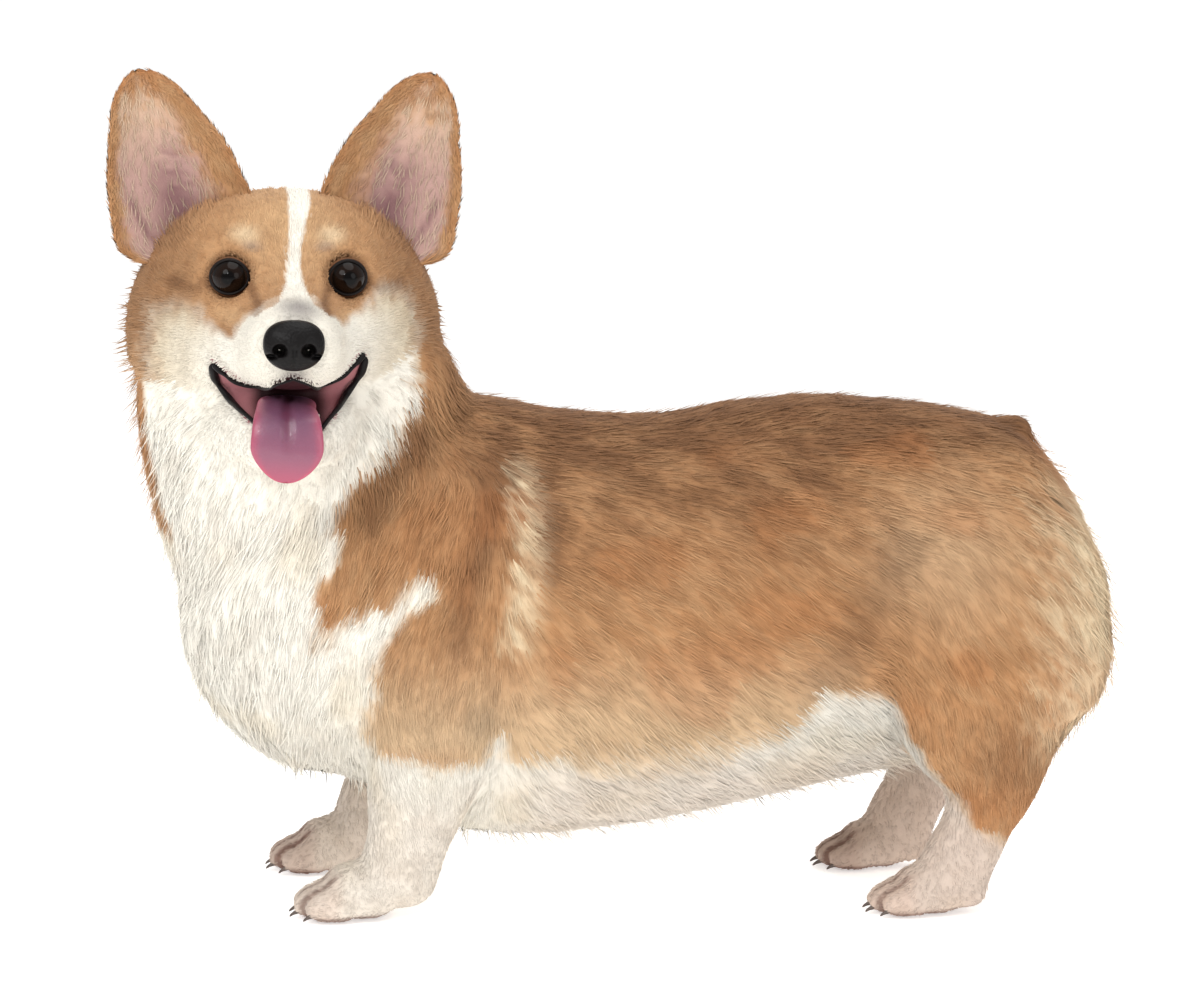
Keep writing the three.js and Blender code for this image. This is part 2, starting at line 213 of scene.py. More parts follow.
def mesh_of(shape, name):
    """A mesh of one bmesh, which is freed."""
    mesh = bpy.data.meshes.new(name)
    shape.to_mesh(mesh)
    shape.free()
    return mesh


def joined(meshes, name):
    """One mesh of several."""
    whole = bmesh.new()
    for mesh in meshes:
        whole.from_mesh(mesh)
    return mesh_of(whole, name)


def gathered(shapes, name):
    """One mesh of several bmeshes, which are freed."""
    return joined([mesh_of(shape, "part") for shape in shapes], name)


def points_of(mesh):
    """A mesh's points as an array."""
    at = np.empty(len(mesh.vertices) * 3, np.float32)
    mesh.vertices.foreach_get("co", at)
    return at.reshape(-1, 3).astype(float)


def move_points(mesh, at):
    """Puts a mesh's points at these places."""
    mesh.vertices.foreach_set("co", np.ascontiguousarray(at, np.float32).ravel())
    mesh.update()


def finished(mesh, name, colours, finish, replaces=()):
    """A finished piece: a mesh in millimetres of the body's frame, with one linear colour per point."""
    layer = mesh.color_attributes.new("Coat", "FLOAT_COLOR", "POINT")
    rgba = np.ones((len(mesh.vertices), 4), np.float32)
    rgba[:, :3] = np.clip(colours, 0, 1)
    layer.data.foreach_set("color", rgba.ravel())
    move_points(mesh, (points_of(mesh) + OFFSET) / 1000)
    mesh.materials.append(finish)
    mesh.polygons.foreach_set("use_smooth", [True] * len(mesh.polygons))
    piece = bpy.data.objects.new(name, mesh)
    scene.collection.objects.link(piece)
    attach(piece, "root")
    if replaces:
        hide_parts(*replaces)


# The dog's forms, out to the coat.
TRUNK = [
    (0, -250, 146, 62, 80, 72),
    (0, -198, 156, 82, 102, 86),
    (0, -148, 164, 95, 118, 104),
    (0, -88, 168, 99, 132, 134),
    (0, -30, 168, 99, 122, 138),
    (0, 32, 166, 97, 121, 128),
    (0, 92, 168, 93, 128, 116),
    (0, 150, 174, 90, 127, 108),
    (0, 205, 182, 92, 114, 108),
    (0, 252, 186, 90, 99, 106),
    (0, 304, 190, 72, 80, 98),
]
NECK = [
    (0, -138, 150, 64, 84, 70),
    (1, -160, 205, 72, 94, 92),
    (5, -176, 255, 76, 95, 102),
    (12, -184, 300, 68, 94, 98),
    (18, -190, 345, 55, 86, 82),
    (20, -191, 385, 40, 62, 62),
]
HEAD = [
    (0, 78, -36, 50, 52, 40),
    (0, 48, -36, 78, 79, 54),
    (0, 14, -36, 94, 84, 60),
    (0, -14, -36, 82, 82, 54),
    (0, -34, -36, 64, 76, 40),
    (0, -50, -36, 50, 47, 30),
    (0, -66, -36, 38, 35, 26),
    (0, -84, -36, 32, 30, 25),
    (0, -103, -36, 28, 26, 23),
    (0, -121, -36, 22, 21, 19),
]
JAW = [
    (0, -8, -92, 54, 32, 30),
    (0, -36, -89, 46, 29, 26),
    (0, -60, -91, 35, 25, 19),
    (0, -80, -94, 25, 17, 14),
    (0, -94, -97, 19, 12, 10),
]
TONGUE = [
    (0, -50, -70, 15, 4.5, 4.5),
    (-1, -72, -70, 16, 5, 5),
    (-3, -92, -70, 16.5, 5, 5),
    (-3, -105, -76, 19, 4.6, 4.6),
    (-3, -110, -90, 20.5, 4, 4),
    (-4, -109, -110, 17, 3.4, 3.4),
]
TONGUE_SHAPE = dict(rise=UP + AHEAD, fullness=(2.6, 2.6), ends=0.2)
NOSE = [(0, -110, -31, 17, 14, 14), (0, -119, -31, 17.5, 14, 15), (0, -129, -30.5, 14, 11, 11)]
EAR = [
    (53, -2, 6, 42, 6, 6),
    (59.5, 4, 32, 42, 3, 3),
    (68, 10, 60, 37.5, 3, 3),
    (77.5, 13, 88, 26, 3, 3),
    (86.5, 14, 114, 14.5, 3, 3),
]
TAIL = [(0, 230, 267, 17, 15, 15), (0, 248, 273, 18, 16, 15), (0, 264, 271, 15, 13, 13)]
EAR_FULLNESS = 2.4
EAR_LENGTH = 135
EAR_SHAPE = dict(rise=AHEAD, fullness=(EAR_FULLNESS, EAR_FULLNESS), ends=0.18, cup=0.45)
TRUNK_SHAPE = dict(fullness=(2.3, 1.8), ends=0.11)
HEAD_SHAPE = dict(fullness=(2.0, 2.4), ends=0.1)
JAW_SHAPE = dict(fullness=(2.6, 2.2), ends=0.16)


def foreleg(side, stride):
    """Stations of a foreleg from the shoulder to the paw, whose paw stands stride behind the left one."""
    x, y = FORE_TRACK, FORE_PAW_Y
    rows = [
        (x - 18, y + 62, 236, 30, 44, 48),
        (x + 4, y + 54, 180, 38, 54, 54),
        (x + 8, y + 48, 130, 35, 48, 46),
        (x + 5, y + 43, 96, 31, 40, 39),
        (x + 2, y + 36 + stride / 2, 64, 25, 30, 30),
        (x, y + 30 + stride, 36, 22, 24, 24),
        (x, y + 22 + stride, FLOOR + 6, 22, 26, 22),
    ]
    return on_side(rows, side)


def hind_leg(side, stride):
    """Stations of a hind leg from the hip over the hock to the paw."""
    x, y = HIND_TRACK, HIND_PAW_Y
    rows = [
        (x - 30, y + 26, 256, 32, 44, 54),
        (x - 5, y + 24, 200, 44, 60, 84),
        (x - 4, y + 22, 150, 44, 58, 90),
        (x - 1, y + 27, 104, 36, 42, 76),
        (x, y + 35 + stride / 2, 72, 26, 26, 34),
        (x, y + 30 + stride, 46, 20, 21, 21),
        (x, y + 20 + stride, 22, 20, 23, 21),
        (x, y + 14 + stride, FLOOR + 4, 20, 22, 24),
    ]
    return on_side(rows, side)


PAWS = {
    "forepaw_left": (FORE_TRACK, FORE_PAW_Y, 52, 75, 32),
    "forepaw_right": (-FORE_TRACK, FORE_PAW_Y + FORE_STEP, 52, 75, 32),
    "hindpaw_left": (HIND_TRACK, HIND_PAW_Y, 46, 70, 29),
    "hindpaw_right": (-HIND_TRACK, HIND_PAW_Y + HIND_STEP, 46, 70, 29),
}
LANES = (-1.5, -0.5, 0.5, 1.5)
TOE_APART = 0.245  # of the paw's width


def toe_tips(x, y, width, length):
    """Where each toe of a paw ends, as (x, y): the middle two reach farther."""
    return [(x + lane * width * TOE_APART, y - length * (0.4 if abs(lane) > 1 else 0.5)) for lane in LANES]


def paw(x, y, width, length, height):
    """The sole and its four toes."""
    sole = [
        (x, y + length * 0.36, FLOOR + height * 0.42, width * 0.4, height * 0.5, height * 0.42),
        (x, y, FLOOR + height * 0.44, width * 0.47, height * 0.6, height * 0.44),
        (x, y - length * 0.26, FLOOR + height * 0.34, width * 0.4, height * 0.45, height * 0.34),
    ]
    shapes = [form(sole, around=40, along=30, ends=0.3, fullness=(2, 2.6))]
    for mid, tip in toe_tips(x, y, width, length):
        toe = [
            (mid, tip + length * 0.42, FLOOR + height * 0.42, width * 0.13, height * 0.36, height * 0.42),
            (mid, tip + length * 0.2, FLOOR + height * 0.32, width * 0.145, height * 0.32, height * 0.32),
            (mid, tip, FLOOR + height * 0.21, width * 0.115, height * 0.17, height * 0.21),
        ]
        shapes.append(form(toe, around=24, along=20, ends=0.34))
    return shapes


LEG_SHAPE = dict(rise=AHEAD, ends=0.08)
BODY_FORMS = {
    "trunk": lambda: [form(TRUNK, around=96, along=96, **TRUNK_SHAPE), form(TAIL, ends=0.3)],
    "neck": lambda: [form(NECK, around=80, along=72, rise=AHEAD, ends=0.14)],
    "head": lambda: [
        form(HEAD, around=96, along=96, place=head_to_body, **HEAD_SHAPE),
        brow(1),
        brow(-1),
    ],
    "jaw": lambda: [form(JAW, around=64, along=64, place=head_to_body, **JAW_SHAPE)],
    "foreleg_left": lambda: [form(foreleg(1, 0), **LEG_SHAPE), *paw(*PAWS["forepaw_left"])],
    "foreleg_right": lambda: [form(foreleg(-1, FORE_STEP), **LEG_SHAPE), *paw(*PAWS["forepaw_right"])],
    "hindleg_left": lambda: [form(hind_leg(1, 0), **LEG_SHAPE), *paw(*PAWS["hindpaw_left"])],
    "hindleg_right": lambda: [form(hind_leg(-1, HIND_STEP), **LEG_SHAPE), *paw(*PAWS["hindpaw_right"])],
}
LABEL = {name: i for i, name in enumerate(BODY_FORMS)}


def among(label, *names):
    """Which of the labels are those of the named forms."""
    return np.isin(label, [LABEL[name] for name in names])


def tree_of(mesh):
    """A mesh's faces, for finding the nearest."""
    faces = [tuple(p.vertices) for p in mesh.polygons]
    return BVHTree.FromPolygons([tuple(v.co) for v in mesh.vertices], faces)


def remeshed(mesh, voxel):
    """The outside of a mesh of overlapping forms, as one even net."""
    temp = bpy.data.objects.new("net", mesh)
    scene.collection.objects.link(temp)
    net = temp.modifiers.new("net", "REMESH")
    net.mode = "VOXEL"
    net.voxel_size = voxel
    graph = bpy.context.evaluated_depsgraph_get()
    whole = bpy.data.meshes.new_from_object(temp.evaluated_get(graph))
    bpy.data.objects.remove(temp)
    return whole


class Net:
    """A mesh's points, edges and faces as arrays, with smoothing over the edges."""

    def __init__(self, mesh):
        self.at = points_of(mesh)
        pairs = np.empty(len(mesh.edges) * 2, np.int32)
        mesh.edges.foreach_get("vertices", pairs)
        self.pairs = pairs.reshape(-1, 2)
        mesh.calc_loop_triangles()
        tris = np.empty(len(mesh.loop_triangles) * 3, np.int32)
        mesh.loop_triangles.foreach_get("vertices", tris)
        self.tris = tris.reshape(-1, 3)
        self.degree = np.bincount(self.pairs.ravel(), minlength=len(self.at)).astype(float)

    def smooth(self, values, rounds):
        """Values of the points, each moved half way to the mean of its neighbours, a number of times."""
        values = np.asarray(values, float)
        flat = values.reshape(len(values), -1)
        a, b = self.pairs[:, 0], self.pairs[:, 1]
        for _ in range(rounds):
            total = np.stack(
                [
                    np.bincount(a, flat[b, k], len(flat)) + np.bincount(b, flat[a, k], len(flat))
                    for k in range(flat.shape[1])
                ],
                -1,
            )
            flat = flat + 0.5 * (total / self.degree[:, None] - flat)
        return flat.reshape(values.shape)

    def normals(self):
        """Directions out of the mesh at its points."""
        corners = self.at[self.tris]
        face = np.cross(corners[:, 1] - corners[:, 0], corners[:, 2] - corners[:, 0])
        total = np.zeros_like(self.at)
        for k in range(3):
            for axis in range(3):
                total[:, axis] += np.bincount(self.tris[:, k], face[:, axis], len(self.at))
        return unit(total)


# Markings.
# Where the fawn of the side ends against the white, as (y, z) of the body's frame, for the dog's left.
FAWN_EDGE = [
    (-120, 430), (-113, 312), (-111, 304), (-115, 292), (-122, 280), (-131, 269), (-142, 257),
    (-152, 245), (-159, 237), (-166, 225), (-156, 222), (-165, 204), (-173, 193), (-177, 187),
    (-175, 175), (-174, 161), (-169, 158), (-159, 169), (-141, 178), (-124, 190), (-108, 199),
    (-107, 193), (-112, 184), (-124, 175), (-132, 163), (-138, 146), (-140, 134), (-143, 125),
    (-143, 104), (-138, 95), (-123, 91), (-105, 90), (-88, 91), (-76, 93), (-66, 100), (-53, 84),
    (-29, 86), (-6, 79), (18, 73), (42, 74), (65, 80), (89, 92), (112, 104), (130, 127), (141, 130),
    (159, 127), (172, 112), (187, 88), (200, 73), (206, 64), (212, 54), (225, 43), (242, 36),
    (262, 20), (400, 20), (400, 430),
]
# The same on the dog's right, whose shoulder the turned head draws forward.
FAWN_EDGE_FAR = [
    (-200, 430), (-232, 312), (-246, 290), (-246, 250), (-240, 215), (-228, 190), (-200, 172),
    (-176, 150), (-158, 125), (-150, 104),
] + FAWN_EDGE[29:]
# The white of the face as seen from its front, as (x, z) of the head's frame.
WHITE_FACE = [
    (0, -6), (-16, -13), (-24, -19), (-34, -31), (-45, -28), (-59, -17.5), (-76, -24), (-80, -45),
    (-76, -76), (-68, -100), (-62, -140), (-58, -250), (20, -250), (28, -141), (39, -122), (48, -107),
    (64, -92), (75, -79), (77, -60), (76, -31), (69, -13), (57, -9), (46, -15), (31, -23), (20, -17),
    (13, -8),
]
# The blaze: height in the head's frame, its middle and half its width.
BLAZE = [
    (-22, 0, 18), (-14, 1, 13), (-8, 2, 8.5), (0, 2.5, 5), (10, 2.5, 3.6), (28, 4.5, 4.4), (44, 7, 6.5),
    (60, 8, 7),
]


def away_from(points, ends):
    """How far points of a plane are from a broken line."""
    near = np.full(len(points), FAR)
    for start, end in zip(ends[:-1], ends[1:]):
        run = end - start
        along = np.clip(((points - start) @ run) / (run @ run), 0, 1)
        near = np.minimum(near, np.linalg.norm(points - start - along[:, None] * run, axis=1))
    return near


def inside_by(points, edge):
    """How far points of a plane lie inside a closed outline, negative outside it."""
    ends = np.array([*edge, edge[0]], float)
    inside = np.zeros(len(points), bool)
    for start, end in zip(ends[:-1], ends[1:]):
        run = end - start
        crosses = (start[1] > points[:, 1]) != (end[1] > points[:, 1])
        rise = run[1] if abs(run[1]) > TINY else TINY
        inside ^= crosses & (points[:, 0] < start[0] + (points[:, 1] - start[1]) / rise * run[0])
    near = away_from(points, ends)
    return np.where(inside, near, -near)


FAWN, PALE_FAWN, SABLE_AND_SHADE = rgb("#ae8058"), rgb("#cda87f"), rgb("#775338")
CREAM, WHITE, SHADED_WHITE = rgb("#e8d6b4"), rgb("#f1ece0"), rgb("#dcd3c5")
RUFOUS, GREY_SMUDGE_AND_SHADE = rgb("#a8683a"), rgb("#8d8683")
EAR_FAWN, EAR_CREAM, EAR_PINK, EAR_HOLLOW_SHADE = rgb("#b88a60"), rgb("#d2b398"), rgb("#b8958c"), rgb("#6f4a50")
SKIN_PINK, PAD_DARK_AND_TOE_SHADE, FAR_LEG_SHADE_PINK = rgb("#d3b9a9"), rgb("#7d6257"), rgb("#bfa695")


def bump(points, middle, radius):
    """1 at middle, falling smoothly to 0 at radius."""
    away = np.linalg.norm((np.asarray(points, float) - middle) / radius, axis=-1)
    return 1 - step(0, 1, away)


def streak(points, ends, width):
    """1 along a broken line of the plane, falling to 0 at width."""
    return 1 - step(0, width, away_from(points, np.array(ends, float)))


def flow_noise(at, size, seed):
    """Noise drawn out along the lie of the coat: down and back on the body, down on the neck and legs."""
    x, y, z = at.T
    slant = np.stack([x, 0.28 * (0.8 * y - 0.6 * z), 0.6 * y + 0.8 * z], -1)
    upright = np.stack([x, y, 0.28 * z], -1)
    share = np.clip(step(-60, -110, y) + step(130, 90, z) * step(120, 180, y), 0, 1)
    return mix(noise(slant, size, seed), noise(upright, size, seed + 1), share)


def toe_marks(at):
    """1 in the grooves between the toes, and 1 over the toes, for each paw."""
    grooves, toes = np.zeros(len(at)), np.zeros(len(at))
    for x, y, width, length, height in PAWS.values():
        on = (np.abs(at[:, 0] - x) < width) & (np.abs(at[:, 1] - y) < length)
        lane = (at[:, 0] - x) / (width * TOE_APART)
        gap = np.abs(lane - np.clip(np.round(lane), -1, 1))
        front = on * step(y - 0.05 * length, y - 0.2 * length, at[:, 1])
        front = front * step(1.05 * height, 0.75 * height, at[:, 2] - FLOOR)
        grooves = np.maximum(grooves, front * (1 - step(0.06, 0.26, gap)))
        toes = np.maximum(toes, front)
    return grooves, toes


# Painted shade in the folds of the side, as strength, how far they waver, width and (y, z) points.
FOLD_SHADE_STREAKS = [
    (0.6, 0, 16, [(-113, 280), (-125, 263), (-136, 251), (-142, 234)]),
    (0.6, 0, 15, [(-61, 281), (-67, 257), (-78, 222), (-89, 187), (-92, 163)]),
    (0.5, 0, 14, [(-20, 285), (-34, 262), (-36, 235), (-36, 205)]),
    (0.5, 10, 24, [(172, 218), (158, 192), (144, 166), (130, 140), (122, 118)]),
]
# The pale streak behind the shoulder.
PALE_STREAK = [(-52, 258), (-48, 235), (-49, 208), (-51, 182), (-56, 165)]


def body_colours(at, normal, label):
    """The colour of the coat on the body, neck and legs."""
    x, y, z = at.T
    side = at[:, 1:]
    legs, trunk = label >= LABEL["foreleg_left"], among(label, "trunk")
    waver = 9 * (noise(at, 13, 3) - 0.5) + 5 * (noise(at, 5, 4) - 0.5)
    fawn = np.where(x > -5, inside_by(side, FAWN_EDGE), inside_by(side, FAWN_EDGE_FAR))
    # On the turned neck the fawn of the far side comes round to the front as a narrow band.
    band = np.minimum(np.minimum(35 - x, -222 - y), z - 214)
    fawn = np.maximum(fawn, band)
    # No fawn on the legs' inner faces or under the belly.
    inward = step(0.05, 0.55, -normal[:, 0] * np.sign(x)) * legs * step(150, 120, z)
    under = step(0.45, 0.75, -normal[:, 2]) * trunk * step(150, 120, z)
    tan = step(-5, 5, fawn + waver) * (1 - inward) * (1 - under)
    # Sable tips over the back, paler down the sides, cream on the breeches.
    back = step(170, 280, z) * step(-150, -60, y)
    back = back * (1 - 0.75 * step(120, 190, y) * step(285, 262, z))
    streaks = 0.4 * flow_noise(at, 8, 5) + 0.6 * flow_noise(at, 2.6, 16)
    drift = (streaks - 0.5)[:, None]
    colour = mix(FAWN, PALE_FAWN, 0.3 * step(0.3, 0.85, streaks))
    dark = back * (0.35 + 0.45 * step(0.3, 0.75, flow_noise(at, 12, 7)))
    dark += 0.3 * step(0.45, 0.85, 1 - streaks) * (0.4 + 0.6 * back)
    dark += 0.3 * step(248, 290, z) * step(-60, 0, y)
    # Painted shade: darker along the folds of the side and at the elbow, mixed in with the sable.
    for strength, wander, width, line in FOLD_SHADE_STREAKS:
        dark += strength * streak(side + wander * drift, line, width)
    dark += 0.5 * bump(side, (-76, 115), 22)
    dark += 0.45 * bump(side, (238, 88), 46) * ~trunk
    colour = mix(colour, SABLE_AND_SHADE, np.clip(dark, 0, 0.9))
    pale = streak(side + 16 * drift, PALE_STREAK, 17) * (0.2 + 0.5 * step(0.3, 0.75, streaks))
    pale += 0.2 * bump(side, (200, 212), 74)
    breech = step(236, 288, y + 26 * (streaks - 0.5)) * step(275, 225, z) * step(80, 105, z)
    pale += breech * (0.45 + 0.3 * step(0.3, 0.7, streaks))
    pale += 0.4 * step(175, 95, z) * step(175, 120, y)
    colour = mix(colour, CREAM, np.clip(pale, 0, 0.85))
    colour = mix(colour, RUFOUS, 0.25 * step(0.6, 0.8, noise(at, 30, 9)))
    white = mix(WHITE, SHADED_WHITE, 0.4 * step(0.45, 0.8, noise(at, 8, 8)))
    white = mix(white, CREAM, 0.3 * step(0.5, 0.85, noise(at, 26, 12)))
    # Painted shade: the white darker lower down and further back.
    white = white * (1 - 0.12 * step(175, 95, z) - 0.08 * step(-60, 60, y))[:, None]
    # Painted shade darkens the hind legs' white, and thin white hair lets the pink skin show low on the
    # legs and under the belly.
    hind = step(120, 160, y)
    white = white * (1 - 0.2 * hind * legs)[:, None]
    thin = legs * step(95, 40, z) * (0.25 + 0.35 * hind)
    thin += 0.3 * trunk * step(110, 60, z) * step(-80, -20, y)
    white = mix(white, SKIN_PINK, np.clip(thin, 0, 1))
    # Painted shade: the far legs' white pinker and darker, low down.
    white = mix(white, FAR_LEG_SHADE_PINK, 0.4 * legs * (x < 0) * step(150, 100, z))
    grooves, toes = toe_marks(at)
    white = mix(white, SKIN_PINK, 0.45 * toes)
    # Painted shade in the grooves between the toes and over the far feet's toes; the rim of the soles takes
    # the dark of the pads.
    far_foot_shade = legs * (x < 0) * step(70, 25, z)
    soles = legs * step(5.5, 2, z - FLOOR)
    white = mix(white, PAD_DARK_AND_TOE_SHADE, np.clip(0.75 * grooves + 0.3 * far_foot_shade * toes + 0.8 * soles, 0, 1))
    edge = step(0, 1, 1 - np.abs(tan - 0.5) * 2)
    return mix(white, mix(colour, CREAM, 0.35 * edge), tan)


def head_colours(at):
    """The colour of the coat on the head, in its own frame's markings."""
    q = body_to_head(at)
    x, forward, z = q[:, 0], -q[:, 1], q[:, 2]
    aside = np.abs(x)
    front = q[:, [0, 2]]
    waver = 4 * (noise(at, 7, 13) - 0.5)
    within = inside_by(front, WHITE_FACE)
    # The white ends softly on the cheeks and sharply elsewhere.
    soft = 3 + 9 * step(34, 60, aside) * step(80, 60, forward)
    blur = 7 * (noise(at * [1, 1, 0.4], 4, 18) - 0.5) * step(4, 9, soft)
    white = step(-soft, soft, within + waver + blur)
    low = step(-62, -118, z + 14 * (noise(at, 9, 19) - 0.5))
    white *= np.maximum(step(-12, 14, forward + 0.25 * np.abs(z + 40)), low)
    heights, middles, halves = np.array(BLAZE).T
    half = np.interp(z, heights, halves) * step(-45, -15, forward)
    off_middle = np.abs(x - np.interp(z, heights, middles))
    blaze = step(-1.2, 1.2, half - off_middle + 1.2 * (noise(at, 4, 14) - 0.5))
    blaze *= step(-26, -20, z) * step(-42, -25, forward)
    muzzle = step(84, 92, forward) * step(-22, -26, z - 6) + step(96, 102, forward)
    white = np.clip(white + blaze + muzzle, 0, 1)
    streaks = 0.5 * noise(at, 3.2, 15) + 0.5 * noise(at * [1, 1, 0.4], 2.2, 17)
    middle = bump(front, (0, 30), (46, 46))
    colour = mix(FAWN, PALE_FAWN, np.clip(0.24 + 0.52 * middle + 0.4 * (streaks - 0.5), 0, 1))
    dark = 0.14 * step(0.5, 0.8, 1 - streaks) + 0.2 * step(42, 64, z)
    dark += 0.5 * step(40, 72, aside) * step(-80, -30, z)
    for side in (-1, 1):
        eye = EYE_AT * [side, 1, 1]
        colour = mix(colour, CREAM, 0.5 * bump(front, (side * 25, 25), (14, 9)))
        colour = mix(colour, GREY_SMUDGE_AND_SHADE, 0.4 * bump(front, (side * 21, 18.5), (10, 5)))
        colour = mix(colour, PALE_FAWN, 0.55 * bump(front, (side * 34, -20), (17, 9)))
        dark += 0.75 * streak(front, [(side * 22, -4), (side * 19, -12), (side * 22, -21)], 5)
        dark += 0.45 * streak(front, [(side * 45, -3), (side * 54, -7), (side * 66, -4)], 6)
        socket = 1 - step(13.2, 17.5, np.linalg.norm((q - eye) * [1, 0.6, 1.12], axis=1))
        dark += 0.5 * socket * step(0, 8, forward)
        dark += 0.3 * streak(front, [(side * 30, -31), (side * 44, -27)], 6)
    colour = mix(colour, SABLE_AND_SHADE, np.clip(dark, 0, 0.8))
    colour = mix(colour, PALE_FAWN, 0.3 * step(20, -10, forward) * step(-30, -70, z))
    pale = mix(WHITE, SHADED_WHITE, 0.35 * step(0.5, 0.85, noise(at, 9, 16)))
    rim = step(18, 2, within) * step(-1, 1, within) * step(70, 40, forward) * step(-90, -60, z)
    pale = mix(pale, CREAM, np.clip(0.3 * rim + 0.25 * step(46, 62, aside) * step(-80, -50, z), 0, 1))
    # Painted shade: the white darker and warmer low on the sides of the head, and a little towards the end
    # of the muzzle.
    face_white_shade = step(34, 62, aside) * step(-112, -60, z) + 0.35 * step(70, 90, forward)
    pale = pale * (1 - face_white_shade[:, None] * [0.15, 0.18, 0.22])
    pale = mix(pale, GREY_SMUDGE_AND_SHADE, 0.95 * bump(q, (3, -102, -13), (19, 26, 14)) * step(4, -7, z))
    # Painted shade under the nose, over the upper lip.
    shade_under_nose = 0.5 * bump(front, (0, -50), (12, 8)) + 0.3 * bump(front, (0, -47), (30, 10))
    pale = mix(pale, GREY_SMUDGE_AND_SHADE, shade_under_nose)
    beside_mouth = 0.3 * bump(front, (-34, -62), (12, 12)) + 0.2 * bump(front, (36, -56), (10, 10))
    pale = mix(pale, RUFOUS, beside_mouth)
    return mix(colour, pale, white)


def coat_colours(at, normal, label):
    """The colour of the coat at points of its outer surface."""
    head = among(label, "head", "jaw")
    colours = body_colours(at, normal, label)
    if head.any():
        colours[head] = head_colours(at[head])
    return colours


# The coat's depth, length and lie.


def coat_depths(at, label):
    """How deep the coat lies over the skin, in millimetres."""
    q = body_to_head(at)
    forward = -q[:, 1]
    _, y, z = at.T
    depth = np.full(len(at), 11.0)
    trunk = among(label, "trunk")
    deep = 8 + 4 * step(160, 90, z) + 5 * step(225, 280, y) + 4 * step(-170, -225, y)
    depth[trunk] = deep[trunk]
    head = among(label, "head")
    face = np.interp(forward, [-80, -20, 8, 30, 50, 125], [8, 6, 3.6, 2.4, 1.5, 0.9])
    face = face + 4 * step(58, 88, np.abs(q[:, 0])) * step(10, -40, q[:, 2])
    depth[head] = face[head]
    jaw = among(label, "jaw")
    depth[jaw] = np.interp(forward, [0, 30, 60, 94], [6, 3.6, 2, 1.1])[jaw]
    fore = among(label, "foreleg_left", "foreleg_right")
    heights = [0, 30, 60, 100, 140, 190]
    depth[fore] = np.interp(z, heights, [0.9, 1.4, 2.4, 4, 6, 8])[fore]
    hind = among(label, "hindleg_left", "hindleg_right")
    haunch = np.interp(z, heights, [0.9, 1.4, 2.6, 5, 7, 8])
    haunch = haunch + 6 * step(240, 275, y) * step(70, 110, z)
    depth[hind] = haunch[hind]
    return depth


def coat_lengths(depth):
    """How long the tufts are where the coat has this depth."""
    return np.interp(depth, [0.9, 1.4, 2, 3, 5, 8, 11, 16], [3.2, 4.6, 7, 10, 17, 24, 31, 38])


def coat_lie(at, label):
    """Which way the coat lies, before it is laid along the skin."""
    q = body_to_head(at)
    forward = -q[:, 1]
    x, y, z = at.T
    still = np.zeros(len(at))
    rear = step(215, 275, y)
    outward = rear * np.sign(x)
    down = np.interp(z, [40, 90, 150, 220, 285], [1.6, 1.05, 0.75, 0.6, 0.25]) + 1.6 * rear
    down += 1.2 * step(-120, -200, y)
    ahead = step(-35, -95, y) * step(288, 255, z)
    down += 0.7 * ahead
    lie = np.stack([0.35 * outward, 1 - 1.4 * ahead, -down], -1)
    neck = among(label, "neck")
    to_front = step(-130, -200, y)
    lie[neck] = np.stack([still, 0.25 - 0.7 * to_front, still - 1], -1)[neck]
    # The face's hair runs away from the nose and the eyes, and stands up to the ears.
    head = among(label, "head", "jaw")
    away = unit(q - np.array([0, -118, -34]))
    away[:, 2] -= 0.35 * step(20, -20, forward) * step(20, -30, q[:, 2])
    away[:, 1] -= 0.55 * step(20, -30, forward) * step(0, -60, q[:, 2])
    away[:, 2] -= 0.9 * step(-60, -110, q[:, 2])
    for side in (-1, 1):
        root = bump(q, (side * 54, 6, 24), (40, 46, 34))
        away = mix(away, np.array([side * 0.35, 0.25, 1.0]), root)
        eye = EYE_AT * [side, 1, 1]
        away = mix(away, unit(q - eye), 0.9 * bump(q, eye, 26))
    lie[head] = (head_to_body(away) - HEAD_AT)[head]
    # On the legs it runs down, and forward over the toes.
    toes = step(34, 18, z)
    fore = among(label, "foreleg_left", "foreleg_right")
    front = step(0, -16, y - np.where(x > 0, FORE_PAW_Y, FORE_PAW_Y + FORE_STEP))
    swept = -0.5 * step(90, 180, z)
    lie[fore] = np.stack([still, 0.2 + swept - 1.3 * toes * front, -1 + 0.3 * toes], -1)[fore]
    hind = among(label, "hindleg_left", "hindleg_right")
    front = step(0, -16, y - np.where(x > 0, HIND_PAW_Y, HIND_PAW_Y + HIND_STEP))
    swept = 0.75 * step(90, 200, z)
    lie[hind] = np.stack([0.25 * outward, 0.2 + swept - 1.3 * toes * front, -1 + 0.3 * toes], -1)[hind]
    return unit(lie)


# Materials.


def material(name):
    """A new material, with its tree and its shader."""
    made = bpy.data.materials.new(name)
    made.use_nodes = True
    return made, made.node_tree, made.node_tree.nodes["Principled BSDF"]


def painted(name):
    """A new material in the colours of its own points."""
    made, tree, bsdf = material(name)
    hue = add(tree, "ShaderNodeVertexColor", {"layer_name": "Coat"})
    tree.links.new(hue.outputs["Color"], bsdf.inputs["Base Color"])
    return made, tree, bsdf


def add(tree, kind, settings=None, inputs=None, links=None):
    """Adds a node, with its settings, the values of its inputs, and links into them."""
    node = tree.nodes.new(kind)
    for key, value in (settings or {}).items():
        setattr(node, key, value)
    for key, value in (inputs or {}).items():
        node.inputs[key].default_value = value
    for key, source in (links or {}).items():
        tree.links.new(source, node.inputs[key])
    return node


def shade(bsdf, **values):
    """Sets a shader's inputs, whose names are given with _ for each space."""
    for key, value in values.items():
        bsdf.inputs[key.replace("_", " ")].default_value = value


